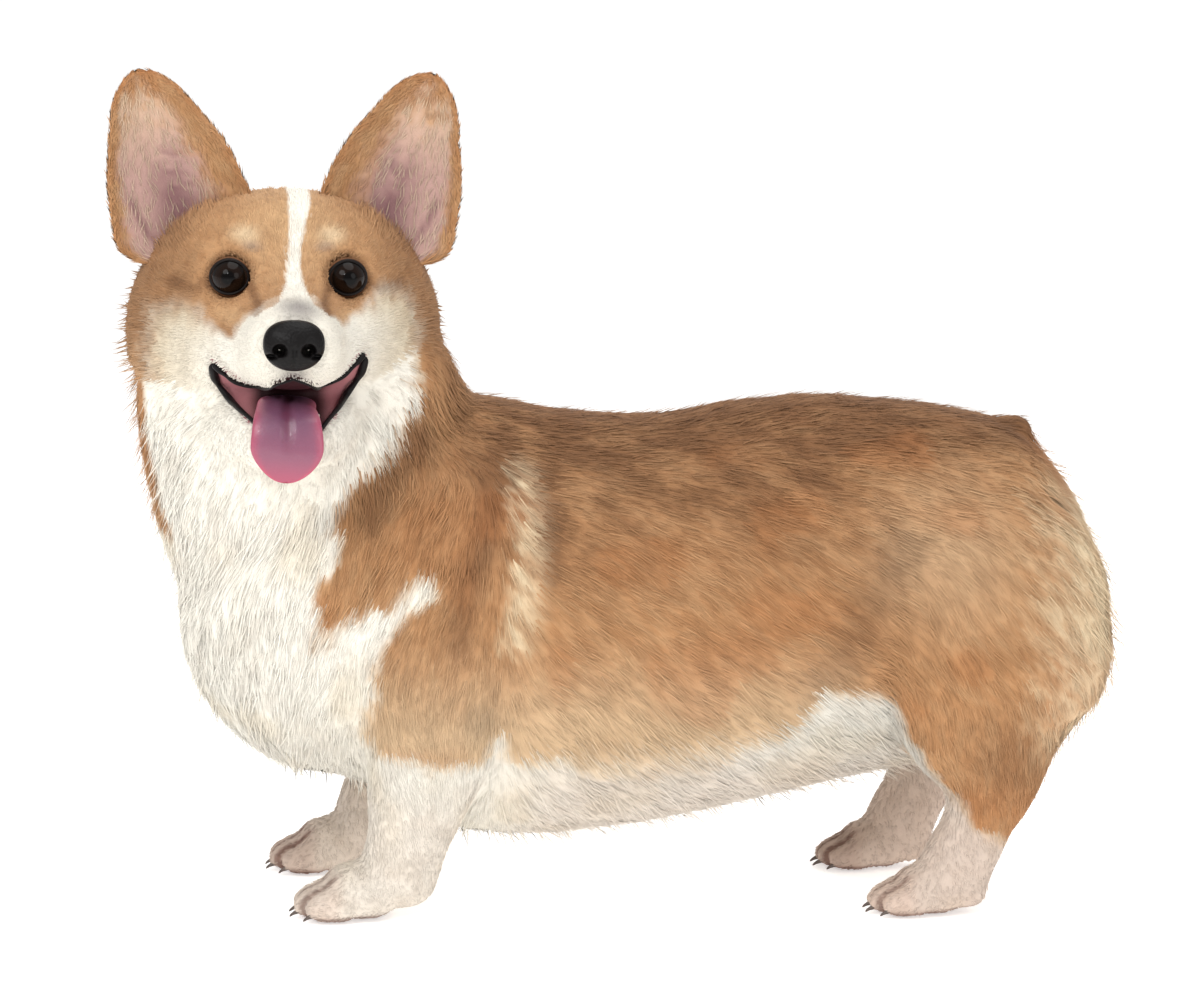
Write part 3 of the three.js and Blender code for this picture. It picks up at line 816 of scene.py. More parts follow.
def coat_material():
    """Dog hair: a dry double coat, which gives soft strands with a slight sheen along them."""
    made, _, bsdf = painted("double_coat_hair")
    shade(bsdf, Roughness=0.75, Specular_IOR_Level=0.16, Sheen_Weight=0.06, Sheen_Roughness=0.5)
    return made


def raised(tree, bsdf, kind, settings, scale, output, bump_settings, strength, depth):
    """Roughens a shader's surface with a fine pattern."""
    place = add(tree, "ShaderNodeTexCoord")
    pattern = add(tree, kind, settings, scale, {"Vector": place.outputs["Object"]})
    relief = {"Strength": strength, "Distance": depth}
    lift = add(tree, "ShaderNodeBump", bump_settings, relief, {"Height": pattern.outputs[output]})
    tree.links.new(lift.outputs["Normal"], bsdf.inputs["Normal"])


def wool_material(name, rough):
    """A matt ground in the coat's own colours, broken by fine grain."""
    made, tree, bsdf = painted(name)
    raised(tree, bsdf, "ShaderNodeTexNoise", {}, {"Scale": 900.0, "Detail": 4.0}, "Fac", {}, 0.5, 0.0006)
    shade(bsdf, Roughness=rough, Specular_IOR_Level=0.15)
    return made


def bare_material(name, rough, coat=0.0, bump_size=0.0, depth=0.0003, level=0.5, sub=0.0):
    """Bare tissue or horn coloured by its own points, with a pebbled or ridged surface."""
    made, tree, bsdf = painted(name)
    shade(bsdf, Roughness=rough, Specular_IOR_Level=level, Coat_Weight=coat, Coat_Roughness=0.08)
    if sub:
        shade(bsdf, Subsurface_Weight=sub, Subsurface_Scale=0.004, Subsurface_Radius=(1.0, 0.35, 0.25))
    if bump_size:
        cells = {"feature": "SMOOTH_F1"}, {"Scale": 1 / bump_size}, "Distance"
        raised(tree, bsdf, "ShaderNodeTexVoronoi", *cells, {"invert": True}, 0.6, depth)
    return made


COAT = coat_material()
# Skin under the coat: matt, with pores too fine to catch the light.
SKIN = wool_material("skin_under_coat", 0.6)
# Woolly undercoat: dense fine down, quite matt, whose crimp breaks the light into soft flecks.
WOOL = wool_material("woolly_undercoat", 0.85)
# Nose leather: bare pebbled skin, damp, so that it glints in small points.
NOSE_LEATHER = bare_material("damp_nose_leather", 0.42, 0.0, 0.0014, 0.0005, level=0.17)
# Tongue: wet muscle with fine papillae, which scatters light and shines softly.
TONGUE_FLESH = bare_material("wet_tongue", 0.36, 0.15, 0.0009, 0.0002, sub=0.2)
# Lips and lids: bare dark skin with a damp edge.
BARE_SKIN = bare_material("bare_lip_skin", 0.45, 0.0, 0.001, 0.0002, level=0.16)
# Cornea over iris: a wet polished ball that mirrors the lights.
EYE_GLASS = bare_material("wet_eye", 0.05, 0.0, level=0.13)
# Horn: claws worn dull, with a soft gloss.
CLAW_HORN = bare_material("claw_horn", 0.45, 0.1, 0.0006, 0.0001)
# Enamel: hard, smooth and wet.
TOOTH_ENAMEL = bare_material("tooth_enamel", 0.25, 0.4)

# Camera, light and floor.
scene.view_settings.view_transform = "Standard"


def add_camera():
    """The photograph's view: from the dog's left and a little ahead, slightly above the back."""
    azimuth, elevation, roll = (math.radians(angle) for angle in (84, 8.1, 1.0))
    distance, target = 2.5, Vector((np.array([0, 0, 232.0]) + OFFSET) / 1000)
    level = math.cos(elevation)
    back = Vector((math.sin(azimuth) * level, -math.cos(azimuth) * level, math.sin(elevation)))
    right = (-back).cross(Vector((0, 0, 1))).normalized()
    up = right.cross(-back)
    turned_right = right * math.cos(roll) + up * math.sin(roll)
    turned_up = up * math.cos(roll) - right * math.sin(roll)
    lens = bpy.data.cameras.new("camera")
    lens.lens = 125
    lens.sensor_width = 36
    lens.sensor_fit = "HORIZONTAL"
    eye = bpy.data.objects.new("camera", lens)
    turn = Matrix((turned_right, turned_up, back)).transposed().to_4x4()
    eye.matrix_world = Matrix.Translation(target + back * distance) @ turn
    scene.collection.objects.link(eye)
    scene.camera = eye


def add_light(name, where, aim, size, power):
    """A round soft light at one place, turned to another; power in watts."""
    data = bpy.data.lights.new(name, "AREA")
    data.shape = "DISK"
    data.size = size
    data.energy = power
    lamp = bpy.data.objects.new(name, data)
    lamp.location = where
    lamp.rotation_euler = (Vector(aim) - Vector(where)).to_track_quat("-Z", "Y").to_euler()
    scene.collection.objects.link(lamp)


add_camera()
add_light("key_softbox", (1.6, -1.5, 1.9), (0, -0.05, 0.25), 1.5, 25)
add_light("top_softbox", (0.2, 0.2, 2.3), (0, 0, 0.2), 1.8, 18)
add_light("fill_softbox", (1.8, 1.5, 1.0), (0, 0.1, 0.2), 1.5, 10)
add_light("catch_light", (2.1, -0.9, 1.5), (0.1, -0.19, 0.37), 0.3, 7.0)
add_light("far_softbox", (-1.8, 0.6, 1.4), (0, 0, 0.25), 1.4, 12)

world = bpy.data.worlds.new("studio")
world.use_nodes = True
shade(world.node_tree.nodes["Background"], Color=(1, 1, 1, 1), Strength=0.56)
scene.world = world

floor_net = bmesh.new()
bmesh.ops.create_grid(floor_net, x_segments=1, y_segments=1, size=60)
floor_mesh = mesh_of(floor_net, "floor")
floor = bpy.data.objects.new("floor", floor_mesh)
scene.collection.objects.link(floor)
floor_paint, _, floor_bsdf = material("matt_studio_paper")
shade(floor_bsdf, Roughness=0.95, Specular_IOR_Level=0.1)
shade(floor_bsdf, Base_Color=(*rgb("#fbfaf8"), 1), Emission_Color=(1, 1, 1, 1), Emission_Strength=0.52)
floor_mesh.materials.append(floor_paint)

# Skin.
form_meshes = [gathered(make(), name) for name, make in BODY_FORMS.items()]
form_trees = [tree_of(mesh) for mesh in form_meshes]
skin_mesh = remeshed(joined(form_meshes, "outer"), SKIN_VOXEL)
net = Net(skin_mesh)
net.at = net.smooth(net.at, 3)
net.at[:, 2] = np.maximum(net.at[:, 2], FLOOR)
outer = net.at.copy()
outer_normal = unit(net.smooth(net.normals(), 3))


def nearest_form(points):
    """Which of the dog's forms each point lies on."""
    search = 12.0  # millimetres
    best = np.full(len(points), FAR)
    nearest = np.zeros(len(points), int)
    for i, tree in enumerate(form_trees):
        for k, p in enumerate(points):
            hit = tree.find_nearest(p, min(best[k], search))
            if hit[0] is not None and hit[3] < best[k]:
                best[k], nearest[k] = hit[3], i
    return nearest


label = nearest_form(outer.tolist())
depth = net.smooth(coat_depths(outer, label), 14)
depth = np.minimum(depth, 0.5 * (outer[:, 2] - FLOOR) + 0.6)
lie = unit(net.smooth(coat_lie(outer, label), 16))
lie = unit(lie - outer_normal * (lie * outer_normal).sum(1, keepdims=True))
skin_at = outer - outer_normal * depth[:, None]
skin_at[:, 2] = np.maximum(skin_at[:, 2], FLOOR + 0.3)
# Which way each eye looks, in the head's frame.
EYE_LOOK = {1: unit(np.array([0.16, -1.0, 0.04])), -1: unit(np.array([-0.16, -1.0, 0.04]))}


def about_eye(q, side):
    """How far points of the head's frame lie ahead of an eye's middle, and beside its line of sight."""
    away = q - EYE_AT * [side, 1, 1]
    ahead = away @ EYE_LOOK[side]
    return ahead, np.linalg.norm(away - ahead[:, None] * EYE_LOOK[side], axis=1)


def sunk_at_eyes(at):
    """Skin points drawn back behind the eyeballs, which makes their sockets."""
    q = body_to_head(at)
    for side in (-1, 1):
        ahead, beside = about_eye(q, side)
        back = np.where((ahead > -9) & (ahead < 30), (ahead + 9) * step(12.4, 10.6, beside), 0)
        q = q - EYE_LOOK[side] * back[:, None]
    return head_to_body(q)


skin_at = sunk_at_eyes(skin_at)


def mouth_zone(at, beyond=0.0):
    """1 on the bare skin between the lips, or up to some millimetres beyond them."""
    q = body_to_head(at)
    return step(-0.8, 0.8, inside_by(q[:, [0, 2]], MOUTH) + beyond) * step(18, 24, -q[:, 1])


# The lips' edges as seen from the head's front, as (x, z) of its frame, from the corner to the middle.
UPPER_LIP = [
    (43, -42), (40, -45.5), (36, -49.5), (31, -54), (25, -57.5), (19, -59), (13, -57), (8, -54), (-2, -50),
]
LOWER_LIP = [
    (43.5, -44), (42, -52), (39, -59), (34, -66.5), (28, -73), (22, -78), (15, -84), (8, -88.5), (1, -90),
]


def lip_line(row, side):
    """A lip's edge on one side: the dog's right corner is drawn lower in this smile."""
    if side > 0:
        return row
    fall, start, over = (7, 8, 35) if row is UPPER_LIP else (5, 25, 18)
    return [(-x, z - fall * max(0.0, (x - start) / over)) for x, z in row]


MOUTH = UPPER_LIP + lip_line(UPPER_LIP, -1)[::-1] + lip_line(LOWER_LIP, -1) + LOWER_LIP[::-1]
mouth = mouth_zone(outer)
lip_side = mouth_zone(outer, 2.6)  # the same with the skin just outside the lips
# Painted shade: the skin a little darker than the coat over it.
skin_colour = coat_colours(outer, outer_normal, label) * 0.95
MOUTH_PINK, MOUTH_SHADE, LIP_BLACK = rgb("#a56c70"), rgb("#2c1014"), rgb("#120e0f")
# Pink between the lips, darkened towards the middle by painted shade, deep in the mouth.
pinks = mix(MOUTH_PINK, MOUTH_SHADE, step(27, 16, np.abs(body_to_head(outer)[:, 0])))
skin_colour = mix(skin_colour, pinks, step(0.3, 0.7, lip_side))
EAR_NET = (72, 64)  # how many points round and along an ear


def ear_rows(side):
    """The stations of an ear's leaf, inside its hair."""
    return np.array(on_side(EAR, side)) - [0, 0, 0, 1.2, 1.0, 1.0]


def ear_leaf(side):
    """One ear as a thin cupped leaf."""
    return mesh_of(form(ear_rows(side), *EAR_NET, place=head_to_body, **EAR_SHAPE), "ear")


# Tufts.


def tuft_shape():
    """A pointed three-sided lock, cut once across: its points' places along and round it, and its faces."""
    lock = bmesh.new()
    bmesh.ops.create_cone(lock, cap_ends=True, segments=3, radius1=1, radius2=0, depth=1)
    geometry = lock.verts[:] + lock.edges[:] + lock.faces[:]
    bmesh.ops.bisect_plane(lock, geom=geometry, plane_co=(0, 0, 0), plane_no=(0, 0, 1))
    bmesh.ops.remove_doubles(lock, verts=lock.verts, dist=1e-4)
    bmesh.ops.triangulate(lock, faces=lock.faces)
    bmesh.ops.recalc_face_normals(lock, faces=lock.faces)
    at = np.array([v.co for v in lock.verts])
    faces = np.array([[v.index for v in f.verts] for f in lock.faces])
    along = at[:, 2] + 0.5
    ring = at[:, :2] / np.maximum(1 - along, 1e-3)[:, None]
    lock.free()
    return along, ring * (along < 0.999)[:, None], faces


LOCK = tuft_shape()
LOCK_SIZE = 7.0  # how wide the locks are that tufts gather in


def lay_tufts(root, middle, tip, up, half_width, colours):
    """Arrays of points, faces, colours and normals for one lock along each root, middle and tip."""
    along, ring, faces = LOCK
    count, size = len(root), len(along)
    t = along[None, :, None]
    bend = 2 * middle[:, None] - 0.5 * (root[:, None] + tip[:, None])
    line = (1 - t) ** 2 * root[:, None] + 2 * t * (1 - t) * bend + t**2 * tip[:, None]
    run = unit(tip - root)
    over = unit(np.cross(up, run))
    rise = np.cross(run, over)
    taper = np.interp(along, [0, 0.35, 0.7, 1], [0.85, 1.0, 0.75, 0.0])[None, :, None]
    across = over[:, None] * ring[None, :, :1] + rise[:, None] * ring[None, :, 1:] * 0.34
    points = line + across * taper * half_width[:, None, None]
    # Painted shade: each lock darker towards its root, deep in the coat, and a little lighter at its tip.
    root_shade = np.interp(along, [0, 0.5, 1], [0.86, 0.97, 1.03])[None, :, None]
    hues = colours[:, None, :] * root_shade
    soft = unit(0.9 * up[:, None] + unit(across + 0.02 * up[:, None]))
    numbered = faces[None] + (np.arange(count) * size)[:, None, None]
    return points.reshape(-1, 3), numbered.reshape(-1, 3), hues.reshape(-1, 3), soft.reshape(-1, 3)


def tuft_piece(name, root, middle, tip, up, half_width, colours, flat):
    """One coat piece of many locks, with each lock's patch of the unwrap at its root's place."""
    points, faces, hues, soft = lay_tufts(root, middle, tip, up, half_width, colours)
    points[:, 2] = np.maximum(points[:, 2], FLOOR + 0.15)
    mesh = bpy.data.meshes.new(name)
    mesh.vertices.add(len(points))
    mesh.loops.add(len(faces) * 3)
    mesh.polygons.add(len(faces))
    mesh.vertices.foreach_set("co", points.astype(np.float32).ravel())
    mesh.loops.foreach_set("vertex_index", faces.astype(np.int32).ravel())
    mesh.polygons.foreach_set("loop_start", np.arange(0, len(faces) * 3, 3, dtype=np.int32))
    mesh.update(calc_edges=True)
    along, ring, _ = LOCK
    patch = np.stack([ring[:, 0] * (1 - along) * 0.0014, (along - 0.5) * 0.003], -1)
    places = (flat[:, None] + patch[None]).reshape(-1, 2)
    layer = mesh.uv_layers.new(name="OFBake")
    layer.data.foreach_set("uv", places[faces.ravel()].astype(np.float32).ravel())
    finished(mesh, name, hues, COAT)
    mesh.normals_split_custom_set_from_vertices(soft)
    print(name, len(faces), "triangles")


outer_tree = BVHTree.FromPolygons(outer.tolist(), net.tris.tolist())
corner = outer[net.tris]
tri_area = 0.5 * np.linalg.norm(np.cross(corner[:, 1] - corner[:, 0], corner[:, 2] - corner[:, 0]), axis=1)
tri_middle = corner.mean(1)
tri_label = label[net.tris[:, 0]]
tri_depth = depth[net.tris].mean(1)


MAP_MARGIN, MAP_SIZE = 0.02, 0.96


def on_map(across, up):
    """A place of the OFBake map, inside its margin."""
    return np.stack([MAP_MARGIN + MAP_SIZE * across, MAP_MARGIN + MAP_SIZE * np.clip(up, 0, 1)], -1)


def unwrap(at, which):
    """The place of skin points on an unwrap of the skin round each part's own axis, from 0 to 1."""
    x, y, z = at.T
    if which == "head":
        q = body_to_head(at)
        turn, along = np.arctan2(q[:, 0], q[:, 2] + 42), (90 - q[:, 1]) / 230
    elif which == "trunk":
        turn, along = np.arctan2(x, z - 165), (y + 260) / 580
    elif which == "neck":
        turn, along = np.arctan2(x - 5, -(y + 175)), (z - 100) / 320
    else:
        turn, along = np.arctan2(x - math.copysign(FORE_TRACK, x.mean()), y - y.mean()), z / 280
    return on_map(turn / (2 * math.pi) + 0.5, along)


def bare(at):
    """1 where the eyes and the nose leave no room for hair."""
    q = body_to_head(at)
    hide = np.zeros(len(at))
    for side in (-1, 1):
        ahead, beside = about_eye(q * [1, 1, 1.06], side)
        hide = np.maximum(hide, (1 - step(11.9, 12.5, beside)) * (ahead > -10))
    nose = (q - [0, -120, -31.5]) / [17.5, 14, 15]
    return np.maximum(hide, 1 - step(0.98, 1.04, np.linalg.norm(nose, axis=1)))


def trimmed(at):
    """The share of its length that the coat keeps round the eyes, the nose and the mouth."""
    q = body_to_head(at)
    keep = 0.45 + 0.55 * step(16, 30, np.linalg.norm(q - [0, -120, -31], axis=1))
    for side in (-1, 1):
        keep = np.minimum(keep, 0.28 + 0.72 * step(12, 27, about_eye(q, side)[1]))
    edge = np.where(q[:, 1] < -20, -inside_by(q[:, [0, 2]], MOUTH), 99)
    return np.minimum(keep, 0.35 + 0.65 * step(1, 12, edge))


def grow(name, chosen, per_mm2, which, width, seed, spread=0.2, length=1, stand=0, stray=0.09, lift=0.4):
    """Grows one piece of coat over the chosen faces, with its own seed for what is left to chance."""
    rng = np.random.default_rng(seed)
    faces = np.nonzero(chosen)[0]
    area = tri_area[faces]
    count = int(area.sum() * per_mm2)
    pick = faces[np.searchsorted(np.cumsum(area) / area.sum(), rng.random(count))]
    a, b = rng.random(count), rng.random(count)
    flip = a + b > 1
    a[flip], b[flip] = 1 - a[flip], 1 - b[flip]
    share = np.stack([1 - a - b, a, b], -1)[:, :, None]

    def at_root(values):
        """Values of the skin's points at each tuft's root."""
        rows = values[net.tris[pick]]
        return (rows * (share if rows.ndim == 3 else share[:, :, 0])).sum(1)

    top, up, lies = at_root(outer), unit(at_root(outer_normal)), at_root(lie)
    deep = at_root(depth)
    keep = (bare(top) < rng.random(count)) & (at_root(mouth) < 0.35)
    top, up, lies, deep, pick = top[keep], up[keep], lies[keep], deep[keep], pick[keep]
    count = len(top)
    under = top - up * deep[:, None]
    # The lie wavers in locks of a few centimetres, and each tuft a little more.
    side = np.cross(up, lies)
    sway = 0.45 * (noise(top, 24, seed + 1) - 0.5) + 0.36 * (noise(top, 8, seed + 2) - 0.5)
    sway = sway + spread * rng.standard_normal(count) * 0.5
    lies = unit(lies + side * sway[:, None])
    reach = coat_lengths(deep) * length * (0.8 + 0.4 * rng.random(count))
    _, y, z = top.T
    breeches = step(250, 290, y) * step(270, 215, z)
    reach = reach * (0.85 + 0.3 * noise(top, 12, seed + 3)) * (1 + 0.3 * breeches)
    if which == "head":
        reach = reach * trimmed(top)
    height = 0.86 + 0.14 * rng.random(count) + 0.1 * (noise(top, 9, seed + 4) - 0.5)
    # Stray tufts lift off the coat, most of all on the breeches, the bib and the belly.
    loose = rng.random(count) < stray
    fringe = step(238, 285, y) + step(95, 60, z) * (which == "trunk") + step(-215, -250, y)
    height = height + np.where(loose, lift * (0.4 + rng.random(count)) * (1 + fringe), 0) + stand
    flat_reach = np.sqrt(np.maximum(reach**2 - (deep * height) ** 2, (0.45 * reach) ** 2))
    # Tips gather towards the middle of their own lock.
    cell = np.floor(top / LOCK_SIZE).astype(np.int64)
    middle_of_lock = (cell + np.stack([lattice(cell, seed + k) for k in (5, 6, 7)], -1)) * LOCK_SIZE
    pull = middle_of_lock - top
    pull = pull - up * (pull * up).sum(1, keepdims=True)
    pull = pull * np.minimum(1, 5.0 / np.maximum(np.linalg.norm(pull, axis=1, keepdims=True), 1e-6))
    gather = (0.28 * step(2, 8, deep))[:, None]
    tips = top + lies * flat_reach[:, None] + pull * gather
    mids = top + lies * (0.45 * flat_reach)[:, None] + pull * gather * 0.3
    found = []
    for spots in (mids, tips):
        hits = [outer_tree.find_nearest(p, 40) for p in spots.tolist()]
        place = np.array([h[0] if h[0] is not None else p for h, p in zip(hits, spots.tolist())])
        face = np.array([h[2] if h[2] is not None else 0 for h in hits])
        found.append((place, face))
    (mid_at, mid_face), (tip_at, tip_face) = found
    mid_up = unit(outer_normal[net.tris[mid_face]].mean(1))
    tip_up = unit(outer_normal[net.tris[tip_face]].mean(1))
    mid_deep, tip_deep = tri_depth[mid_face], tri_depth[tip_face]
    mid = mid_at - mid_up * (mid_deep * (1 - 0.8 * np.minimum(height, 1.15)))[:, None]
    tip = tip_at - tip_up * (tip_deep * (1 - height))[:, None]
    mark_at = mid_at * 0.35 + tip_at * 0.65
    mark_label = label[net.tris[tip_face, 0]]
    hues = coat_colours(mark_at, tip_up, mark_label)
    chance = (rng.random(count) - 0.5) + 0.9 * (lattice(cell, seed + 9) - 0.5)
    hues = hues * (1 + (0.2 - 0.17 * hues.mean(1)) * chance)[:, None]
    half = width * (0.75 + 0.5 * rng.random(count)) * np.where(loose, 0.7, 1)
    root = under - up * 0.3
    flat = unwrap(under, which)
    tuft_piece(name, root, mid, tip, unit(up + tip_up), half, hues, flat)


q_tri = body_to_head(tri_middle)
forward_tri = -q_tri[:, 1]
x_tri, y_tri, _ = tri_middle.T


def undercoat():
    """The wool under the tufts: a closed shell a little below the coat's surface, sunk at bare skin."""
    mesh = skin_mesh.copy()
    mesh.name = "undercoat"
    open_skin = np.maximum(lip_side, bare_of_wool(outer))
    sunk = np.where(open_skin > 0.02, depth + 2.5, np.minimum(0.14 * depth + 0.55, 0.8 * depth + 0.1))
    at = outer - outer_normal * net.smooth(sunk, 2)[:, None]
    at[:, 2] = np.maximum(at[:, 2], FLOOR + 0.5)
    move_points(mesh, sunk_at_eyes(at))
    mesh.validate()
    finished(mesh, "undercoat", coat_colours(outer, outer_normal, label), WOOL)


def bare_of_wool(at):
    """1 over the eyes, the nose and their edges, where no wool grows."""
    q = body_to_head(at)
    hide = bare(at)
    for side in (-1, 1):
        ahead, beside = about_eye(q, side)
        hide = np.maximum(hide, (1 - step(12.5, 14, beside)) * (ahead > -10))
    return hide


undercoat()
head_tri, neck_tri, trunk_tri = (among(tri_label, name) for name in ("head", "neck", "trunk"))
crown, left = q_tri[:, 2] > -14, x_tri > 0
face, neck_left = head_tri & (forward_tri > 28), x_tri > 5
ear_roots = sum(bump(q_tri, (side * 54, 8, 22), (34, 40, 26)) for side in (-1, 1)) > 0.15
chest, rump = trunk_tri & (y_tri < -60), trunk_tri & (y_tri >= 110)
flank = trunk_tri & ~chest & ~rump
calm = dict(spread=0.15, stray=0.02, lift=0.2)
REGIONS = [
    # name, faces, tufts per square millimetre, unwrap, half width, seed, options
    ("coat_face", face, 0.66, "head", 0.4, 11, calm),
    ("coat_crown", head_tri & ~face & crown, 0.36, "head", 0.6, 21, dict(lift=0.25)),
    ("coat_ear_roots", head_tri & ear_roots, 0.16, "head", 0.5, 26, dict(stand=0.7, length=1.1)),
    ("coat_cheeks", head_tri & ~face & ~crown, 0.48, "head", 0.66, 31, {}),
    ("coat_jaw", among(tri_label, "jaw"), 0.6, "head", 0.46, 41, {}),
    ("coat_neck_left", neck_tri & neck_left, 0.32, "neck", 0.75, 51, {}),
    ("coat_neck_right", neck_tri & ~neck_left, 0.21, "neck", 0.85, 61, {}),
    ("coat_chest_left", chest & left, 0.28, "trunk", 0.76, 71, {}),
    ("coat_chest_right", chest & ~left, 0.17, "trunk", 0.9, 81, {}),
    ("coat_flank_left", flank & left, 0.235, "trunk", 0.72, 91, {}),
    ("coat_flank_right", flank & ~left, 0.13, "trunk", 0.92, 101, {}),
    ("coat_rump_left", rump & left, 0.235, "trunk", 0.74, 111, {}),
    ("coat_rump_right", rump & ~left, 0.15, "trunk", 0.9, 121, {}),
    ("coat_foreleg_left", among(tri_label, "foreleg_left"), 0.33, "leg", 0.5, 131, {}),
    ("coat_foreleg_right", among(tri_label, "foreleg_right"), 0.2, "leg", 0.6, 141, {}),
    ("coat_hindleg_left", among(tri_label, "hindleg_left"), 0.225, "leg", 0.64, 151, {}),
    ("coat_hindleg_right", among(tri_label, "hindleg_right"), 0.15, "leg", 0.74, 161, {}),
]
for *region, options in REGIONS:
    grow(*region, **options)

# The skin itself, with the ears' leaves in the same mesh.
move_points(skin_mesh, skin_at)
leaves = [ear_leaf(side) for side in (1, -1)]
whole_skin = joined([skin_mesh, *leaves], "skin")


def ear_paint(t, turn, side, at):
    """The ear's colour: fawn outside, round the rim and along its inner edge, pinkish grey inside, with
    painted shade in its hollow and in the pocket of its rim.
    """
    out = side * np.sign(np.cos(turn)) * np.abs(np.cos(turn)) ** (2 / EAR_FULLNESS)
    front = np.sin(turn) > 0
    waver = 0.22 * (noise(at, 7, 33) - 0.5) + 0.2 * (noise(at, 3, 34) - 0.5)
    inside = front * step(0.92, 0.74, out + 0.4 * waver) * step(-0.62, -0.1, out + 0.1 + waver)
    inside = inside * step(0.98, 0.7, t + waver)
    base = mix(FAWN, EAR_FAWN, front)
    fawn = mix(base, PALE_FAWN, 0.4 * step(0.3, 0.8, noise(at, 5, 31)))
    fawn = mix(fawn, RUFOUS, 0.35 * step(0.75, 1.0, t) + 0.25 * step(0.86, 0.98, np.abs(out)))
    # Painted shade in the hollow low on the ear's inner face.
    hollow = step(0.66, 0.34, t + waver) * step(0.62, 0.0, np.abs(out + 0.02 + 0.3 * (t - 0.4)))
    pink = mix(EAR_PINK, EAR_CREAM, 0.75 * step(0.45, 0.85, t))
    pink = mix(pink, EAR_HOLLOW_SHADE, 0.85 * hollow)
    colour = mix(fawn, pink, inside)
    # Painted shade in the pocket folded into the rim, low on the outer edge.
    fold = 1 - step(0.0, 0.09, np.abs(out - 0.62 - 0.9 * (t - 0.3)))
    fold = front * fold * step(0.12, 0.2, t) * step(0.46, 0.36, t)
    return mix(colour, EAR_HOLLOW_SHADE, 0.7 * fold), inside


_, _, leaf_t, leaf_turn = globe(*EAR_NET)
colours = [ear_paint(leaf_t, leaf_turn, side, points_of(leaf))[0] for side, leaf in zip((1, -1), leaves)]
colours = np.concatenate([skin_colour, *colours])
FLESH = ["head", "neck", "chest", "loin", "rump", "tail", "jaw", "ear_left", "ear_right"]
for limb in ("foreleg", "hindleg"):
    for side in ("left", "right"):
        FLESH += [f"{limb}_{side}_upper", f"{limb}_{side}_lower", f"{limb.replace('leg', 'paw')}_{side}"]
finished(whole_skin, "skin", colours, SKIN, FLESH)


def grow_ear(side, name, seed):
    """Fine hair over both faces of an ear, from its base to its tip."""
    rng = np.random.default_rng(seed)
    count = 6000
    rows = ear_rows(side)
    t = 0.03 + 0.96 * rng.random(count) ** 0.85
    turn = 2 * math.pi * rng.random(count)
    near = on_form(rows, t, turn, **EAR_SHAPE)
    on = on_form(rows, np.minimum(t + 0.01, 1), turn, **EAR_SHAPE)
    over = on_form(rows, t, turn + 0.02, **EAR_SHAPE)
    up = unit(np.cross(on - near, over - near))
    run = unit(on - near)
    root, ahead, above = [head_to_body(v) for v in (near, near + run, near + up)]
    run, up = unit(ahead - root), unit(above - root)
    hues, inside = ear_paint(t, turn, side, root)
    rim = np.abs(np.cos(turn)) ** (2 / EAR_FULLNESS)
    reach = (6 + 4 * rng.random(count)) * (1 - 0.35 * t)
    reach = np.where(inside > 0.5, reach * 1.25, reach)
    keep = (inside < 0.5) | (rng.random(count) < 0.4)
    across = np.cross(up, run)
    lies = unit(run + across * (0.25 * rng.standard_normal(count))[:, None])
    height = 0.8 + 0.5 * rng.random(count) + 0.3 * step(0.85, 1, rim)
    end = np.minimum(t + reach / EAR_LENGTH, 1.0)
    held = head_to_body(on_form(rows, end, turn, **EAR_SHAPE))
    mid = root * 0.5 + held * 0.5 + up * (0.7 * height)[:, None] + (lies - run) * (reach * 0.4)[:, None]
    tip = held + up * height[:, None] + (lies - run) * (reach * 0.9)[:, None]
    pale = mix(hues, CREAM, 0.28)
    hues = np.where(inside[:, None] > 0.5, pale, hues) * (1 + 0.14 * (rng.random(count) - 0.5))[:, None]
    half = 0.4 * (0.7 + 0.6 * rng.random(count)) * 1
    flat = on_map(turn / (2 * math.pi), t)
    tuft_piece(name, *(values[keep] for values in (root - up * 0.2, mid, tip, up, half, hues, flat)))


grow_ear(1, "coat_ear_left", 201)
grow_ear(-1, "coat_ear_right", 211)

# Eyes and lids.
IRIS, PUPIL, EYE_RIM, SCLERA = rgb("#170d08"), rgb("#050303"), rgb("#0a0706"), rgb("#4a352c")


def eye_piece(side, name):
    """A dark brown eye: iris, pupil and a narrow dark edge, painted by the angle from its look."""
    ball, at, _, _ = globe(64, 48)
    look = EYE_LOOK[side]
    aim = Vector((0, 0, 1)).rotation_difference(Vector(look)).to_matrix()
    at = at @ np.array(aim).T
    angle = np.degrees(np.arccos(np.clip(at @ look, -1, 1)))
    hues = mix(PUPIL, IRIS, step(17, 22, angle))
    hues = mix(hues, IRIS * 1.4, 0.5 * step(22, 30, angle) * step(48, 38, angle))
    hues = mix(hues, EYE_RIM, step(44, 52, angle))
    hues = mix(hues, SCLERA, step(56, 64, angle) * 0.6)
    bulge = 1 + 0.05 * step(50, 10, angle)
    spots = head_to_body(EYE_AT * [side, 1, 1] + at * EYE_RADIUS * 0.97 * bulge[:, None])
    finished(mesh_of(moved(ball, spots), name), name, hues, EYE_GLASS, [name])


